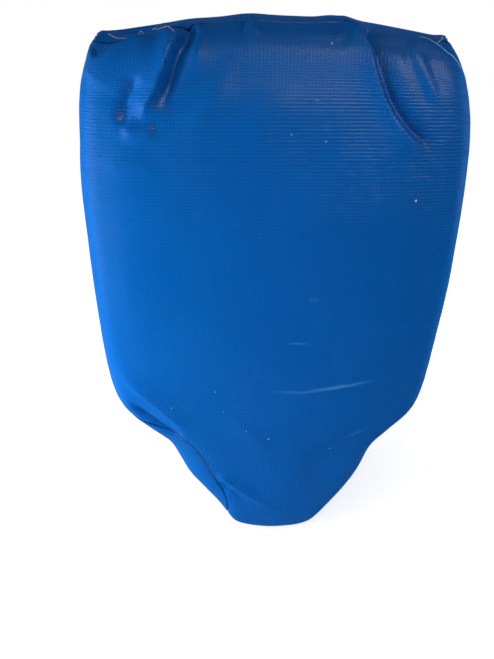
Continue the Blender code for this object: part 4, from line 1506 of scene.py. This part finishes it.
def acetal_material():
    """Moulded acetal zip teeth: dull black with a waxy gloss and a slight orange peel."""
    return grained_material(
        "moulded_acetal", "#16171A", 0.6 * MM, 0.03 * MM, 0.3, Roughness=0.38, Specular_IOR_Level=0.45
    )


def metal_material(name, code, roughness, grain):
    """Metal that was cast or spun and then tumbled: a soft shine, uneven from handling."""
    material, tree, shader = new_material(name)
    solid = add_node(tree, "TexCoord", {}, "Object")
    marks = add_node(tree, "TexNoise", {"Vector": solid, "Scale": 1 / grain, "Detail": 4.0})
    worn = {"Value": marks, "To Min": roughness * 0.75, "To Max": roughness * 1.35}
    relief = {"Height": marks, "Distance": 0.02 * MM, "Strength": 0.25}
    fill(tree, shader, {
        "Base Color": linear(code),
        "Metallic": 1.0,
        "Roughness": add_node(tree, "MapRange", worn),
        "Normal": add_node(tree, "Bump", relief),
    })
    return material


vinyl = vinyl_material()
strike_foam = foam_material("crosslinked_polyethylene_foam", "#D8D4C8", 1.6 * MM)
core_foam = foam_material("polyurethane_foam", "#8E9298", 1.2 * MM)
back_foam = foam_material("rebond_foam", "#5E6266", 2.4 * MM)
webbing = woven_material("polypropylene_webbing", "#0D0D0F", "#2C2D31", 1.9 * MM)
zip_tape = woven_material("polyester_zip_tape", "#0B0B0D", "#202124", 0.8 * MM, 0.9)
dark_thread = thread_material("polyester_thread_dark", "#061A36")
white_thread = thread_material("polyester_thread_white", "#C9DAF2")
acetal = acetal_material()
zinc = metal_material("nickel_plated_zinc", "#B9BABC", 0.28, 1.4 * MM)
brass = metal_material("brass", "#C9A45A", 0.3, 1.8 * MM)


def dress_solids():
    """Finishes of the solids that stay: the zip's teeth and metal, and the vents' brass."""
    finishes = {"zipper_teeth": acetal, "zipper": zinc, "vent": brass}
    for name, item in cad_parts.items():
        for start, material in finishes.items():
            if name.startswith(start):
                item.data.materials.clear()
                item.data.materials.append(material)
                break


# Floor, light and camera


WHITE = (1, 1, 1, 1)
FLOOR_Z = CAD_LOW.z - 2 * MM
FLOOR_SIZE = 6

# How far from the pad, in metres, the floor turns from a lit floor with its shadow to plain
# white, and how much of that white it has near the pad
SHADOW_NEAR, SHADOW_FAR = 0.25, 0.8
SHADOW_LIFT = 0.62


def seen_rays(tree):
    """One for the camera's rays and those that mirrors and clear things pass on to it."""
    seen = 0.0
    for kind in ("Camera", "Glossy", "Transmission"):
        ray = add_node(tree, "LightPath", {}, f"Is {kind} Ray")
        seen = add_node(tree, "Math", {0: seen, 1: ray}, operation="MAXIMUM")
    return seen


def add_floor():
    """A white floor just under the pad, which fades into the white around it."""
    bm = bmesh.new()
    bmesh.ops.create_grid(bm, x_segments=1, y_segments=1, size=FLOOR_SIZE)
    bmesh.ops.translate(bm, vec=(0, 0, FLOOR_Z), verts=bm.verts)
    floor = add_object("floor", bm)
    material, tree, shader = new_material("white_studio_floor")
    tree.nodes.remove(shader)
    lit = add_node(tree, "BsdfDiffuse", {"Color": linear("#F2F2F2")})
    place = add_node(tree, "TexCoord", {}, "Object")
    middle = (0, BACK_Y, FLOOR_Z)
    gap = add_node(tree, "VectorMath", {0: place, 1: middle}, "Value", operation="DISTANCE")
    span = {"Value": gap, "From Min": SHADOW_NEAR, "From Max": SHADOW_FAR, "To Min": SHADOW_LIFT}
    strength = add_node(tree, "MapRange", span)
    glow = add_node(tree, "Emission", {"Color": WHITE, "Strength": strength})
    white = add_node(tree, "AddShader", {0: lit, 1: glow})
    shown = add_node(tree, "MixShader", {0: seen_rays(tree), 1: lit, 2: white})
    fill(tree, tree.nodes["Material Output"], {"Surface": shown})
    floor.data.materials.append(material)


# Lamps, which stand for the room's windows and its pale walls: azimuth from the front and
# elevation in degrees, distance and size in metres, watts, and whether only the gloss shows it
LAMPS = (
    ("left_window", -65, 0, 0.7, 0.45, 4.9, False),
    ("left_high_window", -75, 24, 1.6, 0.9, 5.2, False),
    ("right_front_fill", 50, 14, 1.6, 0.9, 3, False),
    ("right_side_fill", 90, 15, 0.75, 0.45, 2.4, False),
    ("overhead_fill", 10, 64, 1.6, 0.9, 4, False),
    ("right_sheen", 30, 38, 1.6, 0.95, 150, True),
    ("left_sheen", -62, 0, 1.6, 0.9, 24, True),
)

# How strongly the white surroundings light the pad
AMBIENT = 0.01


def add_lamp(name, azimuth, elevation, distance, size, watts, gloss_only):
    """A square lamp that looks at the pad's middle."""
    light = bpy.data.lights.new(name, "AREA")
    light.size = size
    light.energy = watts
    lamp = add_object(name, light)
    lamp.visible_diffuse = not gloss_only
    turn, rise = math.radians(azimuth), math.radians(elevation)
    level = math.cos(rise)
    out = Vector((math.sin(turn) * level, -math.cos(turn) * level, math.sin(rise)))
    lamp.location = (CAD_LOW + CAD_HIGH) / 2 + out * distance
    lamp.rotation_euler = out.to_track_quat("Z", "Y").to_euler()


def add_world():
    """White to the eye and in the gloss, and nearly dark as a light on the pad."""
    world = bpy.data.worlds.new("studio")
    world.use_nodes = True
    tree = world.node_tree
    strength = add_node(tree, "MapRange", {"Value": seen_rays(tree), "To Min": AMBIENT})
    fill(tree, tree.nodes["Background"], {"Strength": strength, "Color": WHITE})
    bpy.context.scene.world = world


def add_camera():
    """The photograph's camera: its lens, its place and its turns."""
    camera = bpy.data.cameras.new("camera")
    camera.sensor_width = SENSOR_MM
    camera.lens = FOCAL_PIXELS / max(IMAGE_WIDTH, IMAGE_HEIGHT) * SENSOR_MM
    camera.clip_start = 10 * MM
    item = add_object("camera", camera)
    place = (CAMERA_X, FRONT_Y - CAMERA_STANDOFF, GRIP_DROP - CAMERA_DROP)
    tilt = Matrix.Rotation(math.radians(90) - CAMERA_PITCH, 4, "X")
    roll = Matrix.Rotation(CAMERA_ROLL, 4, "Z")
    item.matrix_world = Matrix.Translation(place) @ tilt @ roll
    bpy.context.scene.camera = item


def tree_of(mesh):
    """A tree that finds where a ray meets the mesh."""
    return BVHTree.FromPolygons(
        [vert.co.copy() for vert in mesh.vertices], [face.vertices[:] for face in mesh.polygons]
    )


def build():
    """Build the pad, its light and its camera."""
    add_camera()
    form = stuffed_form()
    swell(form)
    add_foam(form)
    fine = refined(form, 1)
    halve_cells(fine)
    sculpt(fine)
    add_cover(fine)
    tree = tree_of(fine)
    add_handles()
    add_patches()
    add_tapes()
    add_handle_stitches()
    add_patch_stitches()
    add_zip_stitches()
    add_shoulder_threads(tree)
    add_seam_stitches(fine, tree)
    dress_solids()
    add_floor()
    for lamp in LAMPS:
        add_lamp(*lamp)
    add_world()
    bpy.context.scene.view_settings.view_transform = "Standard"


build()
